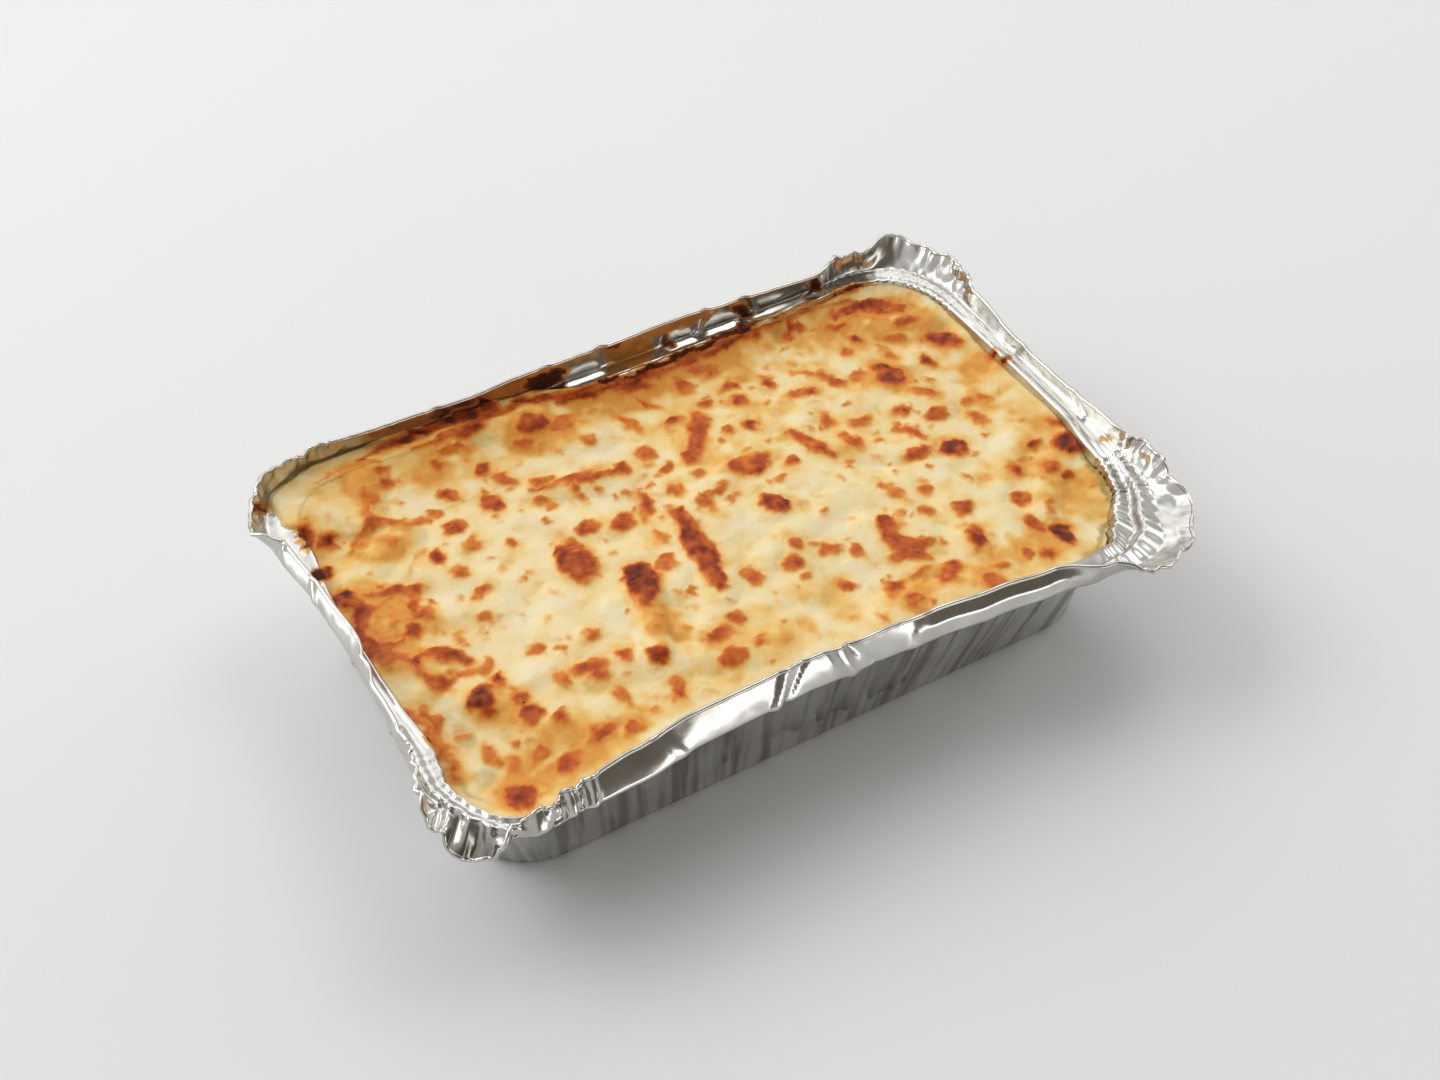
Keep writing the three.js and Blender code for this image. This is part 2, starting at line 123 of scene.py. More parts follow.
# The rim's bends round the tray: side, place along it, bulge, reach, drop, lean and height of the lip
rimBends = [
    ("front", -84, 6.4, 5.6, 0.8, -46, 6.4), ("front", -64, 3.7, 8, 0.5, -46, 8.4),
    ("front", -46, 1.8, 7.5, 0, -30, 9), ("front", -15, 0.5, 7.8, 0, -29, 9), ("front", 6, 1, 7.8, 0, -18, 9),
    ("front", 24, 2, 7.6, 0.2, -30, 7.8), ("front", 45, 3.5, 7.6, 0.5, -32, 7.4),
    ("front", 62, 4.8, 7.6, 0.8, -32, 7), ("front", 77, 5.4, 8.4, 1.2, 12, 7.6),
    ("frontRight", 2, 3, 11, 1.6, 50, 9), ("frontRight", 22, -1.4, 15.2, 2.2, 60, 9.2),
    ("frontRight", 45, -3.6, 12, 2, 72, 8.8), ("frontRight", 75, -2.4, 8.4, 0.9, 28, 6.8),
    ("right", -34, -0.6, 6.9, 0, 2, 6), ("right", -15, 2, 4.8, 0, -10, 5), ("right", 8, 2.5, 4.5, 0, -8, 5),
    ("right", 36, 2.5, 5, 0, 10, 6), ("backRight", 12, 1.5, 6, -0.3, 34, 8.5),
    ("backRight", 45, 1, 7, -0.5, 48, 10), ("backRight", 75, 0.5, 6, 0, 6, 7),
    ("back", 76, 0, 5.4, -0.2, -25, 7.6), ("back", 62, 0, 5, -0.1, -14, 7.4),
    ("back", 46, 0, 4.8, 0, -5, 7.8), ("back", 28, 0, 4.6, 0, -4, 9), ("back", 5, 0, 5, 0, -4, 8),
    ("back", -20, 0, 5.2, 0, -4, 7.8), ("back", -42, 0, 6.2, 0, -10, 7), ("back", -70, 0, 7, 0, -8, 6.8),
    ("backLeft", 20, 0, 7.4, 0, 2, 7), ("backLeft", 45, -0.5, 9.2, 0, 16, 7.5),
    ("backLeft", 80, -2.5, 9.5, 0, 32, 6.5), ("left", 43, -2.6, 9.2, 0, -34, 5),
    ("left", 18, 0, 4.6, 0, -35, 4.8), ("left", 0, 0, 4, 0, -34, 5.8), ("left", -10, -0.2, 4.4, 0, -22, 5.8),
    ("left", -20, -0.6, 5, 0, -4, 6), ("left", -40, -2.2, 7.6, 0, -14, 6),
    ("frontLeft", 6, -1.2, 7.4, 0, -12, 5.6), ("frontLeft", 22, 1.0, 6.2, 0, 20, 5),
    ("frontLeft", 35, 2.4, 5.6, 0.3, 88, 5.6), ("frontLeft", 49, 4.4, 5.2, 0.8, 128, 8.6),
    ("frontLeft", 57, 5.8, 5, 1.4, 132, 6.5), ("frontLeft", 62, 6.4, 5.2, 2, 60, 4),
    ("frontLeft", 67, 6.9, 5.5, 2.4, -24, 3.8), ("frontLeft", 82, 7.2, 5.2, 1.8, -40, 5.2),
]

# Pleats take up the spare foil of the corners and run on past them, before and after, by these lengths
pleats = {
    "seed": 5,
    "narrowest": 0.9,
    "widest": 1.7,
    "folds": (0.5, 1.15),
    "wallDepth": {"frontRight": 0.7, "backRight": 0.55, "backLeft": 0.35, "frontLeft": 0.4},
    "ledgeDepth": {"frontRight": 0.5, "backRight": 0.3, "backLeft": 0.1, "frontLeft": 0.3},
    "ringsLost": {"frontRight": 0.5, "backRight": 0.5, "backLeft": 0.0, "frontLeft": 0.3},
    "lipDepth": {"frontRight": 1.3, "backRight": 1.0, "backLeft": 0.8, "frontLeft": 1.1},
    "ragged": {"frontRight": 1.8, "backRight": 1.3, "backLeft": 0.7, "frontLeft": 1.0},
    "raggedSize": 2.6,
    "raggedSeed": 77,
    "lowestAt": 9,
    "fade": 5,
    "past": {"frontRight": (6, 8), "backRight": (8, 9), "backLeft": (8, 6), "frontLeft": (7, 12)},
}

# Light upright flutes pressed into the walls
flutes = {
    "seed": 9,
    "firstAt": 2.0,
    "closest": 4.2,
    "furthest": 9.5,
    "depth": 0.5,
    "depthShares": (0.4, 1.0),
    "halfWidth": 2.4,
    "from": 5,
    "to": 42,
    "fadeBelow": 10,
    "fadeAbove": 6,
}

# Crumpling of the foil: facets of two sizes, with the depth on wall, ledge and lip, and deeper in the
# corners' lips; dents are the wide hollows in the walls, and a warp bends the facets' lines
crumple = {
    "broad": 9.0,
    "broadSeed": 31,
    "fine": 3.4,
    "fineSeed": 8,
    "fineShare": 0.45,
    "wall": 0.16,
    "ledge": 0.12,
    "lip": 0.26,
    "lipFull": 0.7,
    "corner": {"frontRight": 0.9, "backRight": 0.65, "backLeft": 0.5, "frontLeft": 0.4},
    "cornerSize": 4.4,
    "cornerSeed": 14,
    "cornerFineShare": 0.5,
    "dent": 0.6,
    "dentSize": 26.0,
    "dentSeed": 41,
    "dentSquash": 1.4,
    "wallWarp": (4, 11, 3),
    "sheetWarp": (2.2, 6, 3),
}

# Folds knocked into the lip by hand: side, place along it, slant, half width and depth. They start in the
# outer part of the ledge, rise to their full depth and slant over the lip's height
foldReach = {"ledgeFrom": 0.6, "below": 0.5, "rise": 0.6, "lipHeight": 8}
lipFolds = [
    ("frontLeft", 31, 0.1, 0.9, 0.7), ("frontLeft", 36, 0.1, 0.9, -0.8), ("frontLeft", 41, 0, 0.9, 0.9),
    ("frontLeft", 46, 0, 0.9, -0.9), ("frontLeft", 51, -0.1, 0.9, 0.9), ("frontLeft", 56, -0.1, 0.9, -0.8),
    ("frontLeft", 70, 0.2, 1.2, -0.9), ("frontLeft", 79, 0.2, 1.3, 1.1), ("front", -90, 0.2, 1.3, 1.2),
    ("front", -87.2, 0.3, 1.3, -0.9), ("front", -84.2, 0.1, 1.4, 1.3), ("front", -81, 0.3, 1.4, -0.9),
    ("front", -77.8, 0.2, 1.5, 1.1), ("front", -22, 0.7, 2.0, 1.1), ("front", -18, 0.9, 1.4, -0.8),
    ("front", -3, -0.4, 3.0, 1.2), ("front", 2.5, -0.9, 1.8, -0.7), ("front", 20, 0.5, 3.0, 0.5),
    ("front", -55, -0.6, 2.4, 0.5), ("left", -6, 0.5, 2.5, 0.6), ("left", 24, -0.6, 2.2, 0.6),
    ("left", -33, 0.7, 2.5, 0.5), ("back", 53, 0.5, 2.2, 0.9), ("back", 36, -0.4, 2.0, 0.7),
    ("back", 3, 0.6, 3.0, 0.9), ("back", -20, -0.5, 2.6, 0.7), ("back", -52, 0.4, 2.6, 0.6),
    ("right", -20, 0.6, 2.2, 0.5), ("right", 10, -0.5, 2.5, 0.5),
]

sides = ["front", "frontRight", "right", "backRight", "back", "backLeft", "left", "frontLeft"]
cornerRun = math.pi * tray["cornerRadius"] / 2
longRun = tray["length"] - 2 * tray["cornerRadius"]
shortRun = tray["width"] - 2 * tray["cornerRadius"]
runs = np.array([longRun, cornerRun, shortRun, cornerRun] * 2)
starts = np.concatenate([[0], np.cumsum(runs)[:-1]])
perimeter = runs.sum()


def runOf(side, along):  # a station's distance round the tray, from its side and place along it
    part = {
        "front": 0.5 + along / longRun,
        "right": 0.5 + along / shortRun,
        "back": 0.5 - along / longRun,
        "left": 0.5 - along / shortRun,
    }.get(side, along / 90)
    k = sides.index(side)
    return starts[k] + runs[k] * part


def placesAt(run):  # which side, and which part of it
    s = np.mod(run, perimeter)
    side = np.searchsorted(starts, s, side="right") - 1
    return side, (s - starts[side]) / runs[side]


def outwardAt(run):  # level directions out of the tray
    side, part = placesAt(run)
    turn = (side // 2 - 1 + (side % 2) * part) * (np.pi / 2)
    return np.stack([np.cos(turn), np.sin(turn)], -1)


def edgePoints(run, inset):  # points of a rounded rectangle that lies inset from the wall's top edge
    side, part = placesAt(run)
    x = tray["length"] / 2 - inset - tray["cornerRadius"]
    y = tray["width"] / 2 - inset - tray["cornerRadius"]
    centres = np.array([[-x, -y], [x, -y], [x, y], [-x, y]])
    quarter = side // 2
    after = centres[(quarter + 1) % 4]
    share = np.where(side % 2 == 1, 1.0, part)[:, None]
    return centres[quarter] * (1 - share) + after * share + tray["cornerRadius"] * outwardAt(run)


def easedRound(table, run):  # the table's values, eased from one place on the rim to the next
    stations = np.array(sorted((runOf(side, along), *values) for side, along, *values in table))
    s = np.mod(run, perimeter)
    after = np.searchsorted(stations[:, 0], s, side="right") % len(stations)
    before = (after - 1) % len(stations)
    gap = np.mod(stations[after, 0] - stations[before, 0], perimeter)
    t = smooth(np.mod(s - stations[before, 0], perimeter) / gap)[:, None]
    return (stations[before, 1:] * (1 - t) + stations[after, 1:] * t).T


def rimAt(run):  # bulge, reach, drop, lean and height
    return easedRound(rimBends, run)


def roundDistance(run, other):  # signed distance along the rim
    return np.mod(run - other + perimeter / 2, perimeter) - perimeter / 2


def stretchAt(run, station, half, ends):  # 1 in a stretch of the rim, easing to 0 at its ends
    return smooth((half - np.abs(roundDistance(run, runOf(*station)))) / ends)


def cornerness(run, strengths=None):  # 1, or the corner's own strength, where the foil is pleated
    near = np.zeros(len(run))
    for k in (1, 3, 5, 7):
        before, after = pleats["past"][sides[k]]
        middle = starts[k] + runs[k] / 2
        away = roundDistance(run, middle)
        spare = np.where(away < 0, runs[k] / 2 + before + away, runs[k] / 2 + after - away)
        strength = strengths[sides[k]] if strengths else 1
        near = np.maximum(near, strength * smooth(spare / pleats["fade"]))
    return near


def makePleats():  # edges round the whole rim, every other one folded
    rng = np.random.default_rng(pleats["seed"])
    edges, folds = [0.0], [0.0]
    while edges[-1] < perimeter - pleats["widest"]:
        edges.append(edges[-1] + rng.uniform(pleats["narrowest"], pleats["widest"]))
        folds.append((len(edges) % 2) * rng.uniform(*pleats["folds"]))
    return np.array(edges + [perimeter]), np.array(folds + [0.0])


pleatEdges, pleatFolds = makePleats()


def foldAt(run, strengths=None):  # how far the pleats stand out
    return np.interp(np.mod(run, perimeter), pleatEdges, pleatFolds) * cornerness(run, strengths)


def makeFlutes():  # places round the rim, with their depths
    rng = np.random.default_rng(flutes["seed"])
    found, at = [], flutes["firstAt"]
    while at < perimeter:
        found.append((at, rng.uniform(*flutes["depthShares"]) * flutes["depth"]))
        at += rng.uniform(flutes["closest"], flutes["furthest"])
    return found


fluteList = makeFlutes()


def fluteAt(run):
    groove = np.zeros(len(run))
    for at, depth in fluteList:
        groove += depth * smooth(1 - np.abs(roundDistance(run, at)) / flutes["halfWidth"])
    return groove * (1 - cornerness(run))


def pleatUp(z):  # the pleats grow from the wall's foot to its top
    return smooth((z - pleats["lowestAt"]) / (tray["height"] - pleats["lowestAt"]))


# Where the ledge has sunk: that stretch of the rim, its depth, the lowest height that moved, and the part of
# the ledge's width over which it steps back up
sunk = {"stretch": (("frontRight", 40), 32, 32), "depth": 3.4, "from": 39, "step": (0.42, 0.16)}


def sunkAt(run):
    return sunk["depth"] * stretchAt(run, *sunk["stretch"])


def beforeSinking(run, z):  # the height that a point of the wall had before the ledge sank
    share = 1 - sunkAt(run) / (tray["height"] - sunk["from"])
    return np.where(z > sunk["from"], sunk["from"] + (z - sunk["from"]) / share, z)


def wallOut(run, z):  # how far the wall stands out of its plain straight shape
    bulge = rimAt(run)[0]
    up = (z - tray["footRadius"]) / (tray["height"] - tray["footRadius"])
    above, below = (z - flutes["from"]) / flutes["fadeBelow"], (flutes["to"] - z) / flutes["fadeAbove"]
    fluted = smooth(above) * smooth(below)
    warp = withNoise(0, run, z, [crumple["wallWarp"]])
    broad = facetNoise(run + 0.5 * warp, z - 0.5 * warp, crumple["broad"], crumple["broadSeed"])
    squashed = z * crumple["dentSquash"] + 0.5 * warp
    dents = facetNoise(run - warp, squashed, crumple["dentSize"], crumple["dentSeed"])
    plain = bulge * up + foldAt(run, pleats["wallDepth"]) * pleatUp(z) - fluteAt(run) * fluted
    return plain + (crumple["wall"] * broad + crumple["dent"] * dents) * np.sin(np.pi * np.clip(up, 0, 1))


def wallPoints(run, z):  # points of the plain wall, with one height or a height for each
    up = (z - tray["footRadius"]) / (tray["height"] - tray["footRadius"])
    up = np.broadcast_to(up, len(run))[:, None]
    return edgePoints(run, tray["taper"]) * (1 - up) + edgePoints(run, 0) * up


def columnRuns(samples=20000):  # the mesh's columns, close together where the foil is pleated
    fine = np.linspace(0, perimeter, samples)
    spacing = tray["sideStep"] + (tray["cornerStep"] - tray["sideStep"]) * cornerness(fine)
    passed = np.concatenate([[0], np.cumsum(np.diff(fine) / spacing[:-1])])
    count = int(passed[-1])
    return np.interp(np.arange(count) * passed[-1] / count, passed, fine)


# The sheet's rows, from the middle of the floor to the lip's edge: part, place on it (a height on the wall)
# and whether the inner face needs the row, as below the bake it doesn't
innerFrom = 31
wallHeights = [5, 8, 11, 14, 17, 20, 23, 26, 29, 32, 34.5, 37, 39, 40.5, 42, 43.2, 44, 44.5]
sheetRows = [("floor", 0.5, True), ("floor", 1.0, True)]
sheetRows += [("foot", t, t == 1) for t in (0.25, 0.5, 0.75, 1)]
sheetRows += [("wall", z, z > innerFrom) for z in wallHeights]
sheetRows += [("ledge", t, True) for t in np.linspace(0.04, 0.97, 13)]
sheetRows += [("lip", t, True) for t in np.linspace(0.05, 1, 13)]

# Where each part starts across the sheet and how wide it is, for the noise
ledgeSpan, lipSpan = 7, 9
acrossOf = {
    "floor": (-20, 10),
    "foot": (-8, 4),
    "wall": (0, 1),
    "ledge": (tray["height"], ledgeSpan),
    "lip": (tray["height"] + 8, lipSpan),
}

# Ridges pressed up along the ledge: side, place along it, half length and height. Across the ledge they rise
# from the first place to the second and fall to its outer edge
ridgeAcross = {"from": 0.2, "to": 0.82, "ends": 1.5}
ledgeRidges = [
    ("back", 28, 6, 0.95), ("back", 42.5, 7, 1.0), ("back", 65, 12.5, 0.9), ("back", -6, 8, 0.8),
    ("frontLeft", 34, 27, 0.85),
]


def ridgeAt(run, t):
    low, high, ends = ridgeAcross["from"], ridgeAcross["to"], ridgeAcross["ends"]
    profile = smooth((t - low) / (high - low)) if t < high else smooth((1 - t) / (1 - high))
    return profile * sum(height * stretchAt(run, (side, along), half, ends)
                         for side, along, half, height in ledgeRidges)


def ledgeHeight(run, t, fold, drop):
    rings = sum(height * math.exp(-((t - place) / width) ** 2) for place, width, height in tray["ledgeRings"])
    flatter = tray["flatShare"] * stretchAt(run, *tray["flatRings"])
    rings = rings * (1 - cornerness(run, pleats["ringsLost"])) * (1 - flatter)
    stepAt, stepWidth = sunk["step"]
    z = tray["height"] + fold * min(1, 0.4 + t) - drop * t + rings + ridgeAt(run, t)
    return z - sunkAt(run) * (1 - smooth((t - stepAt) / stepWidth))


def sheetRow(kind, t, run):  # one row of points of the foil's inner face
    bulge, reach, drop, lean, tall = rimAt(run)
    outward = outwardAt(run)
    fold = foldAt(run, pleats["ledgeDepth"])
    foil, foot, top = tray["foil"], tray["footRadius"], tray["height"]
    if kind == "floor":
        ring = wallPoints(run, foot) - foot * outward
        return ring * t, np.full(len(run), foil)
    if kind == "foot":
        angle = t * np.pi / 2
        out = foot * (math.sin(angle) - 1)
        z = foil + foot * (1 - math.cos(angle))
        return wallPoints(run, foot) + out * outward, np.full(len(run), z)
    if kind == "wall":
        lowered = sunkAt(run) * max(t - sunk["from"], 0) / (top - sunk["from"])
        return wallPoints(run, t) + wallOut(run, t)[:, None] * outward, t - lowered
    edge = bulge + reach
    if kind == "ledge":
        inner = bulge + foldAt(run, pleats["wallDepth"])
        out = inner + (edge - inner) * t
        return edgePoints(run, 0) + out[:, None] * outward, ledgeHeight(run, t, fold, drop)
    torn = facetNoise(run, 0 * run, pleats["raggedSize"], pleats["raggedSeed"])
    along = t * withNoise(tall + cornerness(run, pleats["ragged"]) * torn, run, 0 * run, tray["lipWaves"])
    angle, creaseAt = np.radians(lean), tray["creaseAt"]
    crease = tray["creaseDepth"] * stretchAt(run, *tray["creased"])
    shift = foldAt(run, pleats["lipDepth"]) * t + tray["lipBelly"] * math.sin(math.pi * t)
    shift = shift + crease * min(t / creaseAt, (1 - t) / (1 - creaseAt))
    out = edge + np.sin(angle) * along + np.cos(angle) * shift
    z = top + fold - drop + np.cos(angle) * along - np.sin(angle) * shift
    return edgePoints(run, 0) + out[:, None] * outward, z


def sheetNormals(sheet):
    up = np.gradient(sheet, axis=0)
    around = (np.roll(sheet, -1, axis=1) - np.roll(sheet, 1, axis=1)) / 2
    normals = np.cross(up, around)
    return normals / np.linalg.norm(normals, axis=2, keepdims=True)


def crumpled(run, across):  # how far the sheet is pushed along its normal
    warp = withNoise(0, run, across, [crumple["sheetWarp"]])
    slantedRun, slantedAcross = run * 0.8 - across * 0.6, run * 0.6 + across * 0.8
    broad = facetNoise(run + warp, across - warp, crumple["broad"], crumple["broadSeed"])
    fine = facetNoise(slantedRun, slantedAcross, crumple["fine"], crumple["fineSeed"])
    leaning, squashed = run + 0.3 * across - warp, 0.45 * across + warp
    tight = facetNoise(leaning, squashed, crumple["cornerSize"], crumple["cornerSeed"])
    strength = np.array([[crumple[kind] if kind in ("ledge", "lip") else 0.0] for kind, _, _ in sheetRows])
    lip = np.array([[smooth(t / crumple["lipFull"]) if kind == "lip" else 0.0] for kind, t, _ in sheetRows])
    corner = lip * cornerness(run[0], crumple["corner"])[None]
    everywhere = (broad + crumple["fineShare"] * fine) * strength
    return everywhere + (tight + crumple["cornerFineShare"] * fine) * corner


def handFolds(run):  # how far the hand folds push the sheet in
    pushed = np.zeros(run.shape)
    for side, along, slant, halfWidth, depth in lipFolds:
        for k, (kind, t, _) in enumerate(sheetRows):
            if kind != "lip" and not (kind == "ledge" and t > foldReach["ledgeFrom"]):
                continue
            up = t if kind == "lip" else t - 1
            at = runOf(side, along) + slant * foldReach["lipHeight"] * (up - 0.5)
            away = np.abs(roundDistance(run[k], at)) / halfWidth
            rising = smooth((up + foldReach["below"]) / foldReach["rise"])
            pushed[k] += depth * rising * np.clip(1 - away, 0, 1)
    return pushed


# Marks are placed on one level, where the camera sees them: x, y, size along x and y, turn and depth
readLevel = 41.0
seenShift = np.array([-math.sin(view["azimuth"]), math.cos(view["azimuth"])]) / math.tan(view["elevation"])


def seenAt(points):
    return points[..., 0] + seenShift[0] * (points[..., 2] - readLevel), (
        points[..., 1] + seenShift[1] * (points[..., 2] - readLevel))


# How marks are drawn: the width of their soft edge, the least strength of a halo, how far beyond a mark it is
# worked out, and the noise that makes the outlines wander
marks = {
    "softEdge": 2.4,
    "leastHalo": 0.25,
    "margin": 1,
    "haloReach": 4,
    "wanderX": [(1.2, 3.7, 11), (0.65, 1.5, 12)],
    "wanderY": [(1.2, 3.9, 13), (0.65, 1.4, 14)],
    "streakWander": [(0.35, 4.5, 23)],
}


def blotFields(x, y, blots, streaks, halo):
    # the depth of browning at each point from spots and streaks, and the golden halo round them
    x = withNoise(x, x, y, marks["wanderX"])
    y = withNoise(y, x, y, marks["wanderY"])
    brown, glow = np.zeros(x.shape), np.zeros(x.shape)
    least, beyondMark = marks["leastHalo"], marks["margin"] + marks["haloReach"] * halo

    def stamp(near, inside, depth):  # inside is the distance in from the mark's edge
        brown[near] = np.maximum(brown[near], depth * smooth(0.5 + inside / marks["softEdge"]))
        faded = np.exp(-np.maximum(-inside, 0) / halo)
        glow[near] = np.maximum(glow[near], min(1, least + (1 - least) * depth) * faded)

    for cx, cy, sizeX, sizeY, turn, depth in blots:
        reach = max(sizeX, sizeY) / 2 + beyondMark
        near = np.nonzero((np.abs(x - cx) < reach) & (np.abs(y - cy) < reach))
        dx, dy = x[near] - cx, y[near] - cy
        c, s = math.cos(math.radians(turn)), math.sin(math.radians(turn))
        radial = np.hypot((dx * c + dy * s) / (sizeX / 2), (dy * c - dx * s) / (sizeY / 2))
        stamp(near, (1 - radial) * min(sizeX, sizeY) / 2, depth)
    for path, depth in streaks:
        ends = np.array(path, float)
        margin = ends[:, 2:] / 2 + beyondMark
        low, high = (ends[:, :2] - margin).min(axis=0), (ends[:, :2] + margin).max(axis=0)
        near = np.nonzero((x > low[0]) & (x < high[0]) & (y > low[1]) & (y < high[1]))
        inside = np.full(len(near[0]), -1e9)
        for a, b in zip(ends, ends[1:]):
            step = b - a
            t = (x[near] - a[0]) * step[0] + (y[near] - a[1]) * step[1]
            t = np.clip(t / (step[0] ** 2 + step[1] ** 2), 0, 1)
            away = np.hypot(x[near] - a[0] - step[0] * t, y[near] - a[1] - step[1] * t)
            inside = np.maximum(inside, (a[2] + step[2] * t) / 2 - away)
        stamp(near, withNoise(inside, x[near], y[near], marks["streakWander"]), depth)
    return brown, glow


# Sauce burnt on to the foil, and shallow golden-brown patches on the back lip that are painted reflection of
# the bake, partly grease: spots, and streaks as paths of x, y and width, with their depth
foilSpots = [
    (-108.7, 67, 4, 4.6, 0, 0.8), (-102.5, 50, 3.6, 12, -12, 0.85), (-99, 45.5, 4.4, 7, -20, 0.85),
    (-105.4, 34, 6, 6.5, 0, 0.95), (-103.2, 22.6, 5, 5.5, 0, 0.88), (-36, 74.5, 9, 7, 0, 0.95),
    (-14, 76, 16, 5.5, 5, 0.95), (11, 79.5, 7, 3.2, 6, 0.8), (25.8, 72, 4, 3, 0, 0.85),
    (54, 74.5, 4.4, 7, 0, 1.0), (50.5, 67, 5, 5, 0, 0.9), (81.6, 75, 4.6, 5.6, 0, 0.95),
    (91, 67.5, 12, 3, -10, 0.85), (110, 18, 5, 3.2, 20, 0.75), (112, 13, 3, 3, 0, 0.9),
    # the four shallow patches from here (depth 0.3 to 0.44) paint the bake's golden-brown reflection in the
    # back lip, partly a grease film
    (-22, 78, 30, 5, 5, 0.42), (14, 74, 18, 11, -4, 0.44), (36, 79.5, 36, 5, 3, 0.42),
    (-58, 78, 20, 4, 5, 0.3), (122.5, 45.5, 2.2, 2.2, 0, 0.9), (114.5, -31, 2.4, 2.2, 0, 0.7),
]
foilStreaks = [
    ([(-78, 71.5, 1), (-66, 73.2, 2.6), (-56, 73.8, 4), (-44, 74, 6), (-34, 74, 6)], 0.9),
    ([(-26, 72, 3), (-12, 67, 3), (4, 66, 3.2), (18, 66, 3.2), (32, 66.6, 3), (48, 67.6, 2)], 0.92),
    ([(48, 68, 1.2), (60, 68, 1.8), (72, 68.5, 1.8), (86, 68, 1.2)], 0.75),
    ([(-101.6, -24, 1), (-102.4, -34, 1.6), (-102.9, -48, 1)], 0.75),
    ([(-103, 24, 1.4), (-103.5, 12, 2), (-103.4, 2, 2), (-103, -8, 1.2)], 0.78),
]
foilCrust = {"thick": 0.3, "uneven": [(0.25, 2.4, 21)], "halo": 0.5}


def closedSheet(innerRows, outerRows, middle):
    # a closed skin: inner rows outwards from the middle of the floor, then outer rows back to it
    rows = innerRows + outerRows[::-1]
    count = len(rows[0])
    points = np.concatenate([[middle[0]], *rows, [middle[1]]])
    around = np.arange(count)
    after = (around + 1) % count
    last = len(points) - 1
    faces = [(0, a, b) for a, b in zip((1 + around).tolist(), (1 + after).tolist())]
    for row in range(len(rows) - 1):
        a, b = 1 + row * count + around, 1 + row * count + after
        faces += list(zip(a.tolist(), (a + count).tolist(), (b + count).tolist(), b.tolist()))
    base = 1 + (len(rows) - 1) * count
    faces += [(last, b, a) for a, b in zip((base + around).tolist(), (base + after).tolist())]
    return points, faces


def makeSheet():  # the places round the rim, the sheet's inner face and its normals
    run = columnRuns()
    rows = [sheetRow(kind, t, run) for kind, t, _ in sheetRows]
    sheet = np.stack([np.concatenate([plan, z[:, None]], 1) for plan, z in rows])
    across = [acrossOf[kind][0] + acrossOf[kind][1] * t for kind, t, _ in sheetRows]
    runGrid, across = np.meshgrid(run, across)
    pushed = crumpled(runGrid, across) - handFolds(runGrid)
    sheet = sheet + sheetNormals(sheet) * pushed[..., None]
    return run, sheet, sheetNormals(sheet)


def skinPiece(run, sheet, normals, finish):
    x, y = seenAt(sheet)
    # burnt sauce on the foil, with shallow patches that are painted reflection of the bake
    baked, _ = blotFields(x, y, foilSpots, foilStreaks, foilCrust["halo"])
    crust = baked * withNoise(foilCrust["thick"], x, y, foilCrust["uneven"])
    inner = sheet + normals * np.clip(crust, 0, 1)[..., None]
    outer = sheet - normals * tray["foil"]
    wanted = [k for k, row in enumerate(sheetRows) if row[2]]
    middle = [(0, 0, tray["foil"]), (0, 0, 0)]
    points, faces = closedSheet([inner[k] for k in wanted], list(outer), middle)
    turn, radius = 2 * np.pi * run / perimeter, perimeter / (2 * np.pi) * millimetre
    rounds = len(wanted) + len(outer)

    def allRound(values):  # one value for each column, on every row, and 0 at the two middle points
        return np.concatenate([[0], np.tile(values, rounds), [0]])

    stainsAndReflection = np.concatenate([[0], *[baked[k] for k in wanted], np.zeros(outer[..., 0].size), [0]])
    values = {"baked": stainsAndReflection, "aroundX": allRound(np.cos(turn)) * radius,
              "aroundY": allRound(np.sin(turn)) * radius}
    return addPiece("foil_tray_skin", points, faces, finish, values)


def addPiece(name, points, faces, material, values=None):
    mesh = bpy.data.meshes.new(name)
    mesh.from_pydata((np.asarray(points) * millimetre).tolist(), [], faces)
    for key, numbers in (values or {}).items():
        mesh.attributes.new(key, "FLOAT", "POINT").data.foreach_set("value", np.asarray(numbers, float))
    mesh.polygons.foreach_set("use_smooth", [True] * len(mesh.polygons))
    mesh.materials.append(material)
    piece = bpy.data.objects.new(name, mesh)
    bpy.context.collection.objects.link(piece)
    return piece


# Node trees: a wire is one socket, and sums on wires add their own Math nodes

class Wire:
    def __init__(self, wiring, socket):
        self.wiring = wiring
        self.socket = socket

    def maths(self, operation, *terms):
        return self.wiring.node("ShaderNodeMath", {"operation": operation}, dict(enumerate(terms)))

    def __add__(self, other):
        return self.maths("ADD", self, other)

    def __radd__(self, other):
        return self.maths("ADD", other, self)

    def __sub__(self, other):
        return self.maths("SUBTRACT", self, other)

    def __rsub__(self, other):
        return self.maths("SUBTRACT", other, self)

    def __mul__(self, other):
        return self.maths("MULTIPLY", self, other)

    def __rmul__(self, other):
        return self.maths("MULTIPLY", other, self)


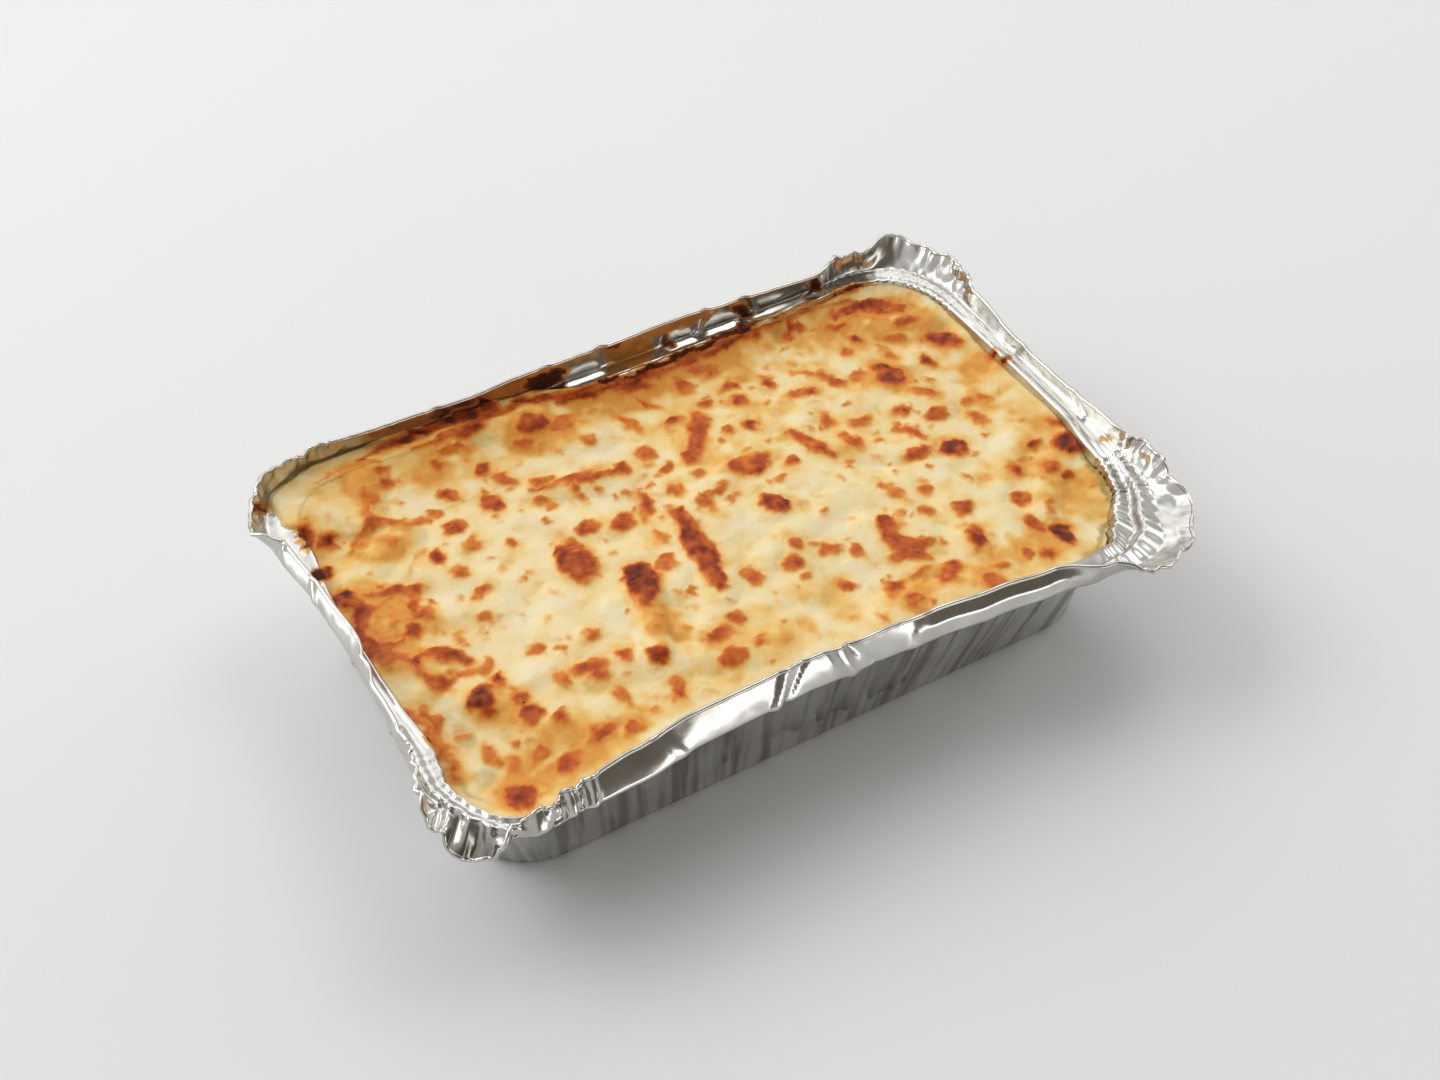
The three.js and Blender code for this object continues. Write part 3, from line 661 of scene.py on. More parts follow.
class Wiring:
    def __init__(self, tree):
        self.tree = tree

    def node(self, kind, settings=None, inputs=None, output=0):
        made = self.tree.nodes.new(kind)
        for key, value in (settings or {}).items():
            if key == "stops":
                while len(made.color_ramp.elements) < len(value):
                    made.color_ramp.elements.new(0.5)
                for element, (position, colour) in zip(made.color_ramp.elements, value):
                    element.position, element.color = position, colour
            else:
                setattr(made, key, value)
        for key, value in (inputs or {}).items():
            if isinstance(value, Wire):
                self.tree.links.new(value.socket, made.inputs[key])
            else:
                made.inputs[key].default_value = value
        return Wire(self, made.outputs[output]) if len(made.outputs) else made

    def mix(self, share, first, second):
        return self.node("ShaderNodeMix", {"data_type": "RGBA"}, {0: share, 6: first, 7: second}, 2)

    def eased(self, value, low, high):  # 0 below low, 1 above high
        return self.node("ShaderNodeMapRange", {"interpolation_type": "SMOOTHSTEP"},
                         {"Value": value, "From Min": low, "From Max": high})

    def noise(self, place, size, detail=2.0, rough=0.5):  # size in metres
        return self.node("ShaderNodeTexNoise", None,
                         {"Vector": place, "Scale": 1 / size, "Detail": detail, "Roughness": rough})

    def value(self, name):
        return self.node("ShaderNodeAttribute", {"attribute_name": name}, None, "Fac")


def tint(red, green, blue):  # a colour as a screen shows it, 0 to 255, made linear
    def linear(c):
        c /= 255
        return c / 12.92 if c <= 0.04045 else ((c + 0.055) / 1.055) ** 2.4
    return (linear(red), linear(green), linear(blue), 1.0)


def newFinish(name):
    material = bpy.data.materials.new(name)
    material.use_nodes = True
    material.node_tree.nodes.clear()
    return material, Wiring(material.node_tree)


def finishWith(wiring, surface):
    wiring.node("ShaderNodeOutputMaterial", None, {"Surface": surface})


# Bright rolled foil, with darker upright streaks on the walls as painted shade for the flutes' reflections,
# golden-brown lacquer (partly painted reflection of the bake) and burnt sauce where the stain value says.
# Sizes are in metres, and a pair ending in Range is where something starts to show and where it is full
foilLook = {
    "metal": tint(208, 207, 202),
    "metalShade": tint(188, 186, 179),
    "cloudSize": 0.012,
    "cloudRange": (0.35, 0.7),
    # painted shade: darker upright streaks on the walls that stand in for the flutes' reflections
    "paintedStreakShade": tint(118, 114, 102),
    "paintedStreakShare": 0.75,
    "paintedStreakRange": (0.44, 0.62),
    "wallStreaks": (0.003, 0.012),
    "streakLength": 0.06,
    "wallTopRange": (0.040, 0.046),
    # golden-brown lacquer: partly painted reflection of the bake, partly grease and the fringes of burnt
    # stains
    "lacquerAndReflection": tint(190, 138, 78),
    "lacquerAndReflectionRange": (0.08, 0.26),
    "scorch": tint(128, 58, 22),
    "scorchRange": (0.42, 0.56),
    "burnt": tint(46, 21, 12),
    "burntRange": (0.5, 0.85),
    "roughness": 0.16,
    "gloss": 0.2,
    "rollLines": 0.0009,
    "rollStretch": (1.0, 0.08, 0.08),
    "grainSize": 0.0011,
    "bump": {"Strength": 0.25, "Distance": 0.00012},
}


def foilFinish():
    material, w = newFinish("bright foil")
    place = w.node("ShaderNodeTexCoord", None, None, "Object")
    cloudy = w.noise(place, foilLook["cloudSize"])
    fineGrain = w.noise(place, foilLook["grainSize"], 3)
    stretched = w.node("ShaderNodeMapping", None, {"Vector": place, "Scale": foilLook["rollStretch"]})
    rolled = w.noise(stretched, foilLook["rollLines"], 1)
    height = w.node("ShaderNodeSeparateXYZ", None, {"Vector": place}, "Z")
    upright = w.node("ShaderNodeCombineXYZ", None, {
        "X": w.value("aroundX"), "Y": w.value("aroundY"), "Z": height * foilLook["streakLength"]})
    # Darker upright streaks down the walls, painted shade standing in for the flutes' light and dark
    # reflections
    narrow, wide = (w.noise(upright, size, 3) for size in foilLook["wallStreaks"])
    streaks = w.eased(narrow * 0.55 + wide * 0.45, *foilLook["paintedStreakRange"])
    onWall = 1 - w.eased(height, *foilLook["wallTopRange"])
    baked = w.value("baked") * (0.85 + (fineGrain - 0.5) * 0.7)
    # golden-brown lacquer: partly painted reflection of the bake in the back lip
    lacqueredAndReflecting, stain = w.eased(baked, *foilLook["lacquerAndReflectionRange"]), w.eased(baked, *foilLook["scorchRange"])
    bare = w.mix(w.eased(cloudy, *foilLook["cloudRange"]), foilLook["metal"], foilLook["metalShade"])
    streakShaded = w.mix(streaks * onWall * foilLook["paintedStreakShare"], bare, foilLook["paintedStreakShade"])
    glazedAndReflecting = w.mix(lacqueredAndReflecting, streakShaded, foilLook["lacquerAndReflection"])
    toasted = w.mix(w.eased(baked, *foilLook["burntRange"]), foilLook["scorch"], foilLook["burnt"])
    bump = w.node("ShaderNodeBump", None, {
        **foilLook["bump"], "Height": rolled * 0.5 + fineGrain * 0.5 + cloudy})
    surface = w.node("ShaderNodeBsdfPrincipled", None, {
        "Base Color": w.mix(stain, glazedAndReflecting, toasted),
        "Metallic": 1 - stain * 0.6 - lacqueredAndReflecting * 0.35,
        "Roughness": foilLook["roughness"] + cloudy * 0.12 + lacqueredAndReflecting * 0.08 + stain * 0.34,
        "Specular IOR Level": foilLook["gloss"],
        "Normal": bump,
    })
    finishWith(w, surface)
    return material


# The bake's top: its level, the sauce drawn up at the foil, and the tubes and swellings under the sauce
bake = {
    "level": 38.6,
    "clearance": 0.4,
    "sideGap": 0.22,
    "sideRings": (0.06, 0.12, 0.19, 0.27, 0.37, 0.5, 0.7, 1.0),
    "plainSideAt": 24.0,
    "floorClearance": 0.3,
    "cell": 0.62,
    "highest": 44.5,
    "rounding": 0.9,
    "ontoLedge": 1.5,  # higher where sauce covers the ledge
    "tubeSpread": 0.62,
    "swellingSpread": 0.6,
    "crossedTube": 0.35,
    "blister": 0.5,
    "blisterWaves": [(0.5, 2.1, 19)],
    "pit": 0.14,
    "lineDepth": 0.6,
    "lumps": [(0.24, 6.5, 1), (0.14, 2.8, 2)],
    "wallDetailFade": 6,  # how fast the wall's small shapes die out inwards
}

tubes = [
    ((-30, -15), (-39, -37), 9, 3.2), ((-97, 29), (-80, 39), 13, 2.6), ((-86, 45), (-80, 63), 9, 1.8),
    ((-32, 62), (-16, 49), 16, 2.6), ((-96, 20), (-95, -16), 15, 2.6), ((-91, -24), (-76, -44), 14, 2.0),
    ((-38, 37), (-12, 28), 10, 1.8), ((33, 48), (42, 22), 11, 1.6), ((78, 30), (84, 8), 11, 1.8),
    ((80, 55), (99, 42), 12, 2.2), ((44, 10), (68, -6), 11, 1.6), ((36, -24), (41, -46), 10, 1.6),
    ((-28, -44), (-10, -50), 12, 1.5), ((22, -54), (50, -56), 12, 1.8), ((10, 42), (4, 20), 10, 1.6),
    ((-11, 6), (-14, -28), 9, 1.5), ((84, -44), (98, -30), 11, 1.4), ((60, -40), (72, -58), 10, 1.2),
    ((100, 8), (98, -18), 12, 1.2),
]
swellings = [
    (-43, 4, 11, 18, 1.6), (-31, -14, 12, 13, 1.4), (-103, 22, 9, 12, 2.0), (-93, -10, 15, 13, 1.4),
    (-87, -29, 12, 12, 1.6), (-92, -61, 13, 12, 1.5), (-76, -58, 12, 9, 1.2), (17, -4, 10, 12, 1.0),
    (20, 13, 15, 11, 1.1), (76, -12, 10, 10, 1.1), (81, -57, 8, 11, 1.2), (105, -27, 9, 12, 2.0),
    (102, 30, 9, 14, 1.6), (-27, 60, 10, 12, 1.0), (57, -45, 9, 12, 0.9), (-104, 48, 7, 16, 1.8),
    (-95, 62, 26, 12, -0.5), (-100, -38, 10, 22, -1.4), (100, -58, 16, 12, -1.2), (-27, -27, 7, 18, -1.0),
    (62, 60, 14, 8, -1.4),
]
hiddenTubes = {
    "seed": 21,
    "count": 46,
    "fromEdge": 17,
    "length": (22, 34),
    "width": (9, 12),
    "rise": (0.5, 1.3),
}


def draws(seed):  # the same repeatable draws as the solid's hidden tubes
    state, stride = seed, 0x6D2B79F5
    while True:
        state = (state + stride) & wordMask
        t = ((state ^ (state >> 15)) * (1 | state)) & wordMask
        t = ((t + (((t ^ (t >> 7)) * (61 | t)) & wordMask)) & wordMask) ^ t
        yield ((t ^ (t >> 14)) & wordMask) / (wordMask + 1)


def allTubes():
    source = draws(hiddenTubes["seed"])

    def between(low, high):
        return low + (high - low) * next(source)

    drawn = []
    for _ in range(hiddenTubes["count"]):
        x = (next(source) - 0.5) * (tray["length"] - 2 * hiddenTubes["fromEdge"])
        y = (next(source) - 0.5) * (tray["width"] - 2 * hiddenTubes["fromEdge"])
        turn = next(source) * math.pi
        half = between(*hiddenTubes["length"]) / 2
        dx, dy = math.cos(turn) * half, math.sin(turn) * half
        width = between(*hiddenTubes["width"])
        drawn.append(((x - dx, y - dy), (x + dx, y + dy), width, between(*hiddenTubes["rise"])))
    return tubes + drawn


belowLedge = (tray["height"] - bake["level"]) / (tray["height"] - tray["footRadius"])
levelInset = tray["taper"] * belowLedge + bake["clearance"]
halfX, halfY = tray["length"] / 2 - levelInset, tray["width"] / 2 - levelInset


def fromCorners(x, y):  # how far a point lies outwards of the rectangle that joins the corners' centres
    radius = tray["cornerRadius"]
    return x - np.clip(x, radius - halfX, halfX - radius), y - np.clip(y, radius - halfY, halfY - radius)


# The sauce at the foil: side, place along it, climb above the level, how far in it climbs, and how much
# of the ledge it covers (0 none, 1 all, more for up the lip)
edgeSauce = [
    ("front", -70, 2.0, 4, -0.6), ("front", 0, 1.8, 4, -0.6), ("front", 66, 1.4, 4, -0.6),
    ("frontRight", 15, 1.7, 3, -0.6), ("frontRight", 50, 1.9, 3, -0.6), ("frontRight", 85, 2.2, 3, -0.6),
    ("right", -28, 2.4, 4, -0.6), ("right", -12, 5, 4, -0.3), ("right", 6, 4.6, 4, -0.5),
    ("right", 40, 4.8, 4, -0.6), ("backRight", 45, 5, 4, -0.6), ("back", 66, 5, 4, -0.3),
    ("back", 40, 4.4, 4, -0.3), ("back", 10, 4.6, 4, -0.2), ("back", -8, 4.8, 4.5, 0.05),
    ("back", -22, 6.2, 5, 1.0), ("back", -40, 7.0, 5, 1.5), ("back", -72, 7.6, 7, 1.35),
    ("backLeft", 40, 7.8, 15, 1.1), ("backLeft", 62, 6.8, 11, 0.75), ("backLeft", 80, 3.6, 5, -0.2),
    ("left", 40, 2.4, 5, -0.5), ("left", 33, 4.0, 4, 0.0), ("left", 27, 2.6, 4, -0.4),
    ("left", 20, 4.0, 4, 0.0), ("left", 0, 2.4, 4, -0.5), ("left", -30, 2.2, 4, -0.6),
    ("frontLeft", 30, 2.2, 4, -0.6), ("frontLeft", 68, 4.2, 5, -0.6),
]


def runOfPoints(x, y):  # the rim place that lies straight outwards of a point of the bake
    awayX, awayY = fromCorners(x, y)
    turned = np.mod(np.arctan2(awayY, awayX) + 2.5 * np.pi, 2 * np.pi) / (np.pi / 2)
    whole = np.floor(turned + 1e-6).astype(int)
    past = turned - whole
    lengthways = whole % 2 == 0
    half = np.where(lengthways, halfX, halfY) - tray["cornerRadius"]
    along = np.where(lengthways, x, y) * np.where((whole % 4 == 2) | (whole % 4 == 3), -1, 1)
    side = 2 * (whole % 4) + (past > 1e-6)
    part = np.where(past > 1e-6, past, 0.5 + along / (2 * half))
    return starts[side] + runs[side] * np.clip(part, 0, 1)


def sauceLevel(x, y):  # the solid's slow waves, drawn up at the foil
    awayX, awayY = fromCorners(x, y)
    inside = tray["cornerRadius"] - np.hypot(awayX, awayY)
    climb, reach, _ = easedRound(edgeSauce, runOfPoints(x, y).ravel()).reshape(3, *x.shape)
    broad = 0.7 * np.sin(x / 23 + 0.6) * np.cos(y / 17 - 0.4)
    slant = 0.4 * np.sin(x / 11 + y / 14)
    return bake["level"] + broad + slant + climb * np.exp(-inside / reach)


def tubeRelief(x, y):
    first, second = np.zeros(x.shape), np.zeros(x.shape)
    for start, end, width, rise in allTubes():
        dx, dy = end[0] - start[0], end[1] - start[1]
        t = np.clip(((x - start[0]) * dx + (y - start[1]) * dy) / (dx * dx + dy * dy), 0, 1)
        away = np.hypot(x - start[0] - dx * t, y - start[1] - dy * t) / (bake["tubeSpread"] * width)
        height = rise * np.clip(1 - away * away, 0, 1) ** 1.3
        second = np.maximum(second, np.minimum(first, height))
        first = np.maximum(first, height)
    return first + bake["crossedTube"] * second


def swellingRelief(x, y):
    lumps = np.zeros(x.shape)
    for cx, cy, sizeX, sizeY, rise in swellings:
        spreadX, spreadY = bake["swellingSpread"] * sizeX, bake["swellingSpread"] * sizeY
        away = ((x - cx) / spreadX) ** 2 + ((y - cy) / spreadY) ** 2
        lumps += rise * np.clip(1 - away, 0, 1) ** 1.5
    return lumps


# Browned spots in the crust, region by region: x, y, size along x and y, turn and depth
brownSpots = [
    # the browned ridge along the left
    (-104, 23, 7, 6, 0, 0.95), (-87, 16, 7, 5, 0, 0.8), (-93, 2.5, 5, 5.5, 0, 0.8),
    (-94.5, -18, 6, 6, 0, 0.8), (-102, -2, 7, 9, 0, 0.6), (-97, 20, 4, 4, 0, 0.6), (-87, 6, 4, 6, 0, 0.55),
    (-83, -6, 3, 6, 10, 0.45),
    # the back left
    (-85, 46, 5, 5, 0, 0.7), (-73, 65, 5, 3, 25, 0.7), (-75, 59, 4, 6, 20, 0.75),
    (-59, 58.5, 4.5, 4.5, 0, 0.75), (-49, 50.5, 5.5, 5, 0, 0.85), (-45, 44, 4, 8, 35, 0.7),
    (-61.5, 45.5, 5.5, 7, 30, 0.75), (-53, 36, 6.5, 8, 20, 0.75), (-67, 33.5, 6, 5, 0, 0.65),
    (-84, 36, 4, 5, 0, 0.6), (-75.5, 24, 5, 6, 0, 0.8), (-65, 24, 7, 5, 30, 0.55),
    (-72.5, 16.5, 5.5, 5.5, 0, 0.65), (-55, 19, 3, 5, 0, 0.6), (-71, 6, 8, 4.5, 35, 0.55),
    (-74, -2.5, 5.5, 4.5, 0, 0.5), (-81, 56, 4, 7, 15, 0.5), (-52, 63, 9, 5, -20, 0.7),
    (-44, 68, 12, 5, 0, 0.9),
    # the middle left
    (-42.5, 3.5, 10, 18, -8, 0.84), (-44.5, 8, 5, 7, 0, 0.9), (-30.5, -12.5, 7, 6, 0, 1.0),
    (-34, -9.5, 4, 4, 0, 0.85), (-40, -38.5, 5.5, 5.5, 0, 0.8), (-67, -20, 5, 4, 0, 0.55),
    (-52, -23, 4, 5, 0, 0.6), (-33.5, 13.5, 6, 5.5, 0, 0.7), (-24, 10.5, 8, 6, 20, 0.7),
    (-15, 13, 4, 11, -20, 0.7), (-21.5, -9.5, 5.5, 5.5, 0, 0.65), (-18, 0, 4, 6, 0, 0.6),
    (-40, 30.5, 4, 4, 0, 0.6), (-30, 30, 3, 5, 0, 0.6), (-13, 30, 6, 6, 0, 0.85), (-20, 31, 5, 3, 0, 0.7),
    (-36, 38, 6, 3, -20, 0.7),
    # the front left
    (-87, -28.6, 8, 7.5, 20, 0.96), (-81.3, -25.4, 4.5, 6, 10, 0.8), (-87.5, -34, 5, 4.5, 0, 0.72),
    (-78.6, -33.4, 4.5, 6, 20, 0.74), (-78.4, -39.4, 6, 6.5, -30, 0.84), (-92.4, -62.8, 8.5, 8.5, 0, 0.82),
    (-77, -59, 10, 6, 20, 0.72), (-66, -34, 5, 6, 0, 0.65), (-58, -33, 9, 5, 0, 0.7),
    (-57, -37, 4, 5, 0, 0.75), (-48, -34, 4, 5, 0, 0.7), (-55, -46, 4, 8, 0, 0.55), (-94, -46, 5, 6, 0, 0.5),
    (-83, -53, 6, 5, 0, 0.55), (-90, -53, 4, 5, 0, 0.5), (-66, -55, 8, 4, 15, 0.7), (-58, -57, 5, 4, 0, 0.65),
    (-41, -52, 5, 7, 0, 0.65), (-73, -45, 4, 4, 0, 0.65),
    # the back middle
    (-27, 61, 8, 10, 0, 0.9), (-20, 57, 9, 6, 0, 0.6), (-34, 55, 6, 5, 0, 0.55), (-16, 47, 5, 5, 20, 0.6),
    (7, 53, 3, 10, 25, 0.65), (20, 54, 6, 8, 0, 0.6), (-2, 47, 3, 10, 20, 0.6), (22.5, 43, 4.5, 4.5, 0, 0.75),
    (10, 41, 5, 4, 0, 0.75), (17, 38, 6, 5, 0, 0.7), (-4, 33, 6, 5, 0, 0.6), (-2, 24, 4, 4, 0, 0.6),
    (-4, 15, 4.5, 5.5, 0, 0.65), (22, 29, 4, 4, 0, 0.65), (29.5, 27, 4, 5, 0, 0.75),
    (32.5, 39.5, 5, 5, 0, 0.75), (33, 46.5, 8, 4, 10, 0.7), (31.5, 54.5, 5, 6, 0, 0.6),
    (52.5, 62.5, 4, 4, 0, 0.8), (73, 42, 5, 5, 0, 0.55), (20, 13, 13, 9, 0, 0.75), (6, 61, 16, 4, -20, 0.8),
    (30, 58, 12, 5, -20, 0.6),
    # the back right
    (44, 42, 4, 6, 0, 0.65), (51, 32, 9, 4, -10, 0.75), (61, 33, 5, 10, 20, 0.65), (69, 30, 7, 5, 0, 0.6),
    (93, 25.5, 4, 7, 15, 0.8), (76, 54, 10, 4, 10, 0.65), (79, 45, 3, 6, 30, 0.7), (78, 26, 8, 12, 15, 0.85),
    (97, 45, 8, 6, 0, 0.85), (102, 32, 7, 12, 25, 0.9), (92, 57, 14, 7, -30, 0.85), (66, 60, 5, 6, 0, 0.85),
    (84, 34, 5, 6, 0, 0.6), (90, 40, 4, 9, 40, 0.5),
    # the right
    (50, 18, 3, 6, 0, 0.65), (58, 12.5, 7, 4, 0, 0.65), (51, 6, 5, 9, 20, 0.65), (40, 12, 6, 15, 25, 0.7),
    (72, 10.5, 6, 4, 0, 0.65), (82, 14, 4, 10, 30, 0.6), (80, 3.5, 9, 6, 0, 0.7), (92, 3, 4, 4, 0, 0.6),
    (96, 3, 4, 4, 0, 0.55), (76, -11.5, 8, 8, 0, 0.92), (65, -9, 8, 5, 10, 0.8), (90, -4, 3, 6, 0, 0.65),
    (106, -27, 8, 8.5, 0, 0.95), (109.5, -20, 3.5, 9, 35, 0.9), (97, -22.5, 4, 4, 0, 0.75),
    (86, -28, 5, 6, 0, 0.8), (95.5, -32.5, 5.5, 5, 0, 0.65), (97.5, -38.5, 4.5, 4, 0, 0.8),
    (80, -39, 6, 5.5, 0, 0.75),
    # the middle
    (17, -4.5, 7, 10, 30, 0.9), (0, 5.5, 5, 7, 0, 0.6), (31, 8, 4.5, 4.5, 0, 0.65),
    (-3, -26.5, 5, 7, 20, 0.6), (14, -21.5, 5.5, 5.5, 0, 0.65), (9, -27.5, 6, 6, 0, 0.7),
    (20.5, -27.5, 6, 5, 0, 0.65), (27, -33, 4, 6, 0, 0.55), (50, -18, 3.5, 8, 20, 0.55),
    (58.5, -23, 4, 4, 0, 0.6), (53, -30, 4, 5, 0, 0.65), (62.5, -34, 7, 5.5, 0, 0.75),
    # the front middle and right
    (-23, -41, 8, 6, 0, 0.65), (-16, -38, 5, 5, 0, 0.65), (-23, -49, 8, 6, 10, 0.65),
    (-14.5, -48.5, 4, 4, 0, 0.6), (17, -42.5, 5, 5, 0, 0.65), (45, -53, 8, 5, 10, 0.82),
    (28, -51, 7, 4, 10, 0.75), (30, -57, 6, 6, 0, 0.75), (37, -49.5, 7, 3, 10, 0.6),
    (59, -46, 6, 10, -35, 0.8), (81, -57, 6, 9, 0, 1.0), (77, -50, 4, 9, 10, 0.7), (72, -61.5, 5, 5, 0, 0.7),
    (53, -62, 4.5, 6, 0, 0.65), (58, -58, 5, 3, 0, 0.6), (68, -58, 4.5, 4.5, 0, 0.65),
    (41, -27, 5.5, 6, 0, 0.74),
]
brownStreaks = [
    # the ridge's dark veins
    ([(-104, 22, 4), (-101, 16, 4.6), (-105, 8, 5), (-106, 0, 3)], 0.8),
    ([(-99, 21, 2), (-92, 19, 3), (-87, 16, 4)], 0.7),
    ([(-87, 15, 4), (-90, 11, 3), (-89, 7, 3.4), (-86, 3, 2)], 0.68),
    ([(-101, 15, 3), (-96, 16, 2), (-91, 18, 2)], 0.55),
    ([(-97, -8, 2.6), (-92, -7, 3.6), (-87, -11, 4), (-85, -16, 2.4)], 0.72),
    ([(-96, -9, 3), (-96, -14, 2.6), (-93, -19, 4)], 0.68),
    ([(-104, -2, 4), (-99, -5, 3.4), (-96, -8, 2.4)], 0.64),
    ([(-93, 3, 3), (-98, 1, 2.2), (-102, 2, 3)], 0.58), ([(-90, -18, 2), (-84, -20, 3), (-80, -17, 2)], 0.5),
    # the forked one behind it
    ([(-85, 47, 3.4), (-91, 42.5, 2), (-97, 38, 1.2)], 0.62),
    ([(-85, 47, 2.6), (-78, 41.5, 2.4), (-71, 39.5, 1.6)], 0.6),
    ([(-85, 47, 3), (-84, 54, 4.4), (-81, 61, 2.6)], 0.45),
    ([(-81, 60, 2), (-75, 59, 2.6), (-72, 63, 1.4)], 0.45),
    # the wedges in the middle
    ([(-8.2, 7, 3.2), (-8.9, 2, 5.2), (-10, -7.5, 6.8), (-10.8, -15, 6.4), (-12.8, -24.5, 4)], 0.86),
    ([(-30, -11, 10.5), (-31.6, -15.5, 8), (-33.6, -21, 2.6)], 0.92),
    ([(17.5, 39, 4.6), (12.5, 32, 5.4), (6.5, 24, 5)], 0.76),
    ([(41, -27, 5), (39, -34, 5.4), (41, -41, 8.5)], 0.72),
    ([(35, -42, 4), (41, -41, 7), (46, -40, 3)], 0.62),
    # the back and the right
    ([(80, 59, 4), (90, 58, 6), (99, 51, 4)], 0.8),
    ([(-40, 36, 1.6), (-30, 34, 2.8), (-20, 31, 3.6), (-12, 30, 4)], 0.7),
    ([(66, 5, 2), (69, 1, 3), (70, -4, 2)], 0.6), ([(52, 43, 1.2), (55, 40, 1.8), (58, 37, 1.2)], 0.6),
    ([(37, 18, 3), (40, 12, 5), (43, 5, 3)], 0.68), ([(0, 5, 1.5), (5, 7, 2.4), (9, 10, 1.5)], 0.55),
    ([(-105.6, -22, 1.2), (-103.4, -31, 2.2), (-103.6, -38, 2.4), (-103.8, -50, 1.5)], 0.7),
    ([(-62, 69, 1.6), (-50, 69, 3), (-38, 70.5, 3.4), (-25, 70.5, 2.2)], 0.7),
    ([(-16, 65.5, 2.6), (0, 63, 3.4), (16, 62.5, 3.4), (34, 63, 3.2), (50, 64, 2.4)], 0.86),
    ([(50, 64, 2), (62, 65, 3), (74, 65, 2)], 0.7), ([(66, 66, 2), (64, 62, 3), (61, 57, 2)], 0.85),
    ([(74, 65, 2), (86, 63, 3), (96, 58, 2)], 0.65), ([(-92, 70, 1.4), (-84, 70, 2.2), (-72, 69, 1.4)], 0.45),
]

# Parts that are toasted all over, with darker spots in them: x, y, size along x and y, and depth
toastedParts = [
    (-98, 8, 19, 27, 0.36), (-92, -11, 14, 15, 0.36), (-84, -32, 14, 12, 0.22), (-79, -38, 10, 12, 0.22),
    (-91, -62, 14, 12, 0.30), (-77, -58, 12, 9, 0.22), (-27, 60, 14, 13, 0.33), (-56, -34, 16, 10, 0.22),
    (90, 56, 24, 9, 0.33), (100, 38, 12, 18, 0.33), (78, 26, 13, 16, 0.28), (-34, -27, 6, 18, 0.20),
    (20, 13, 15, 11, 0.28), (40, -34, 11, 17, 0.28), (106, -25, 9, 14, 0.26), (8, 62, 40, 6, 0.33),
    (40, -53, 24, 8, 0.22), (60, -47, 10, 12, 0.24), (-81, 54, 8, 14, 0.22), (75, -10, 16, 12, 0.24),
]

# Golden parts of the sauce, paler, and olive ones that are painted shade in its hollows: x, y, size along x
# and y, and strength
goldenParts = [
    (-97, 6, 24, 40, 0.65), (-86, 37, 20, 17, 0.6), (-80, -55, 34, 22, 0.45), (-60, -54, 36, 14, 0.3),
    (-82, -33, 18, 18, 0.4), (-25, 58, 36, 22, 0.7), (10, 58, 90, 14, 0.6), (60, 52, 60, 20, 0.45),
    (92, 48, 34, 28, 0.75), (98, -50, 30, 34, 0.55), (-34, -28, 13, 28, 0.6), (60, -56, 90, 16, 0.4),
    (-80, 62, 16, 16, 0.45), (101, 4, 16, 60, 0.35), (92, -28, 30, 18, 0.35), (20, 30, 50, 34, 0.3),
    (-58, 56, 30, 18, 0.3), (78, 28, 24, 26, 0.4), (-8, -45, 50, 22, 0.3), (45, 10, 40, 26, 0.22),
    (-35, -29, 8, 20, 0.9),
]
paintedShadeParts = [
    (-92, 66, 22, 7, 0.4), (-97, -39, 7, 12, 0.5), (-94, 34, 10, 10, 0.25), (-44, 62, 10, 8, 0.5),
    (62, 60, 14, 7, 0.5), (-26, -27, 4, 16, 0.3), (-33, 53, 10, 5, 0.3), (103, 40, 12, 10, 0.5),
    (94, 16, 5, 12, 0.3), (-98, -52, 8, 8, 0.5), (56, 64, 14, 4, 0.4),
]
# Olive painted shadow lines in the gaps and grooves where the bake meets the foil, as paths of x, y and
# width, with their depth
paintedShadowLines = [
    ([(80, -67, 1), (86, -65.3, 1.8), (92.5, -61.8, 2.4), (97.4, -57.8, 2.6), (102, -51.8, 2.4),
      (104.6, -43, 2), (107, -31, 1.6), (108.6, -20, 1)], 0.85),
    ([(-102, 70, 2), (-90, 73, 3), (-74, 72, 2)], 0.3),
    ([(-106.4, -19, 1), (-104.4, -27, 1.8), (-102.8, -33.5, 2.2), (-103.8, -40, 2.2), (-104.8, -46.5, 2.2),
      (-103.8, -54.3, 2), (-100.6, -61.5, 1)], 0.6),
]

# Small toasted spots strewn between the large ones
smallSpots = {"seed": 44, "count": 420, "size": (1.2, 3.2), "depth": (0.1, 0.55)}
thinFlecks = {"seed": 45, "count": 240, "size": (1.6, 4.0), "depth": (0.12, 0.42)}


# How the marks become browning and gold: the halos' widths, and noise as strength, size and seed
toning = {
    "markHalo": 1.7,
    "spotHalo": 1.0,
    "fleckHalo": 0.8,
    "lineHalo": 0.6,
    "partEdges": [(0.25, 7, 15)],
    "veins": (4.4, 24),
    "mottle": [(0.35, 1.7, 25)],
    "edgeWidth": 24,
    "goldPatches": [(0.5, 6, 16), (0.3, 2.7, 17)],
    "brownPatches": [(0.22, 3.1, 28), (0.14, 1.4, 18)],
}


def strewnSpots(settings, border=3):
    rng = np.random.default_rng(settings["seed"])
    found = []
    for _ in range(settings["count"]):
        x, y = rng.uniform(-halfX + border, halfX - border), rng.uniform(-halfY + border, halfY - border)
        size, stretch = rng.uniform(*settings["size"]), rng.uniform(0.7, 1.5)
        found.append((x, y, size, size * stretch, rng.uniform(0, 180), rng.uniform(*settings["depth"])))
    return found


def ellipseField(x, y, parts):  # the strongest of the soft ellipses at each point
    total = np.zeros(x.shape)
    for cx, cy, sizeX, sizeY, strength in parts:
        away = np.hypot((x - cx) / (sizeX / 2), (y - cy) / (sizeY / 2))
        away = withNoise(away, x, y, toning["partEdges"])
        total = np.maximum(total, strength * smooth((1.25 - away) / 0.75))
    return total


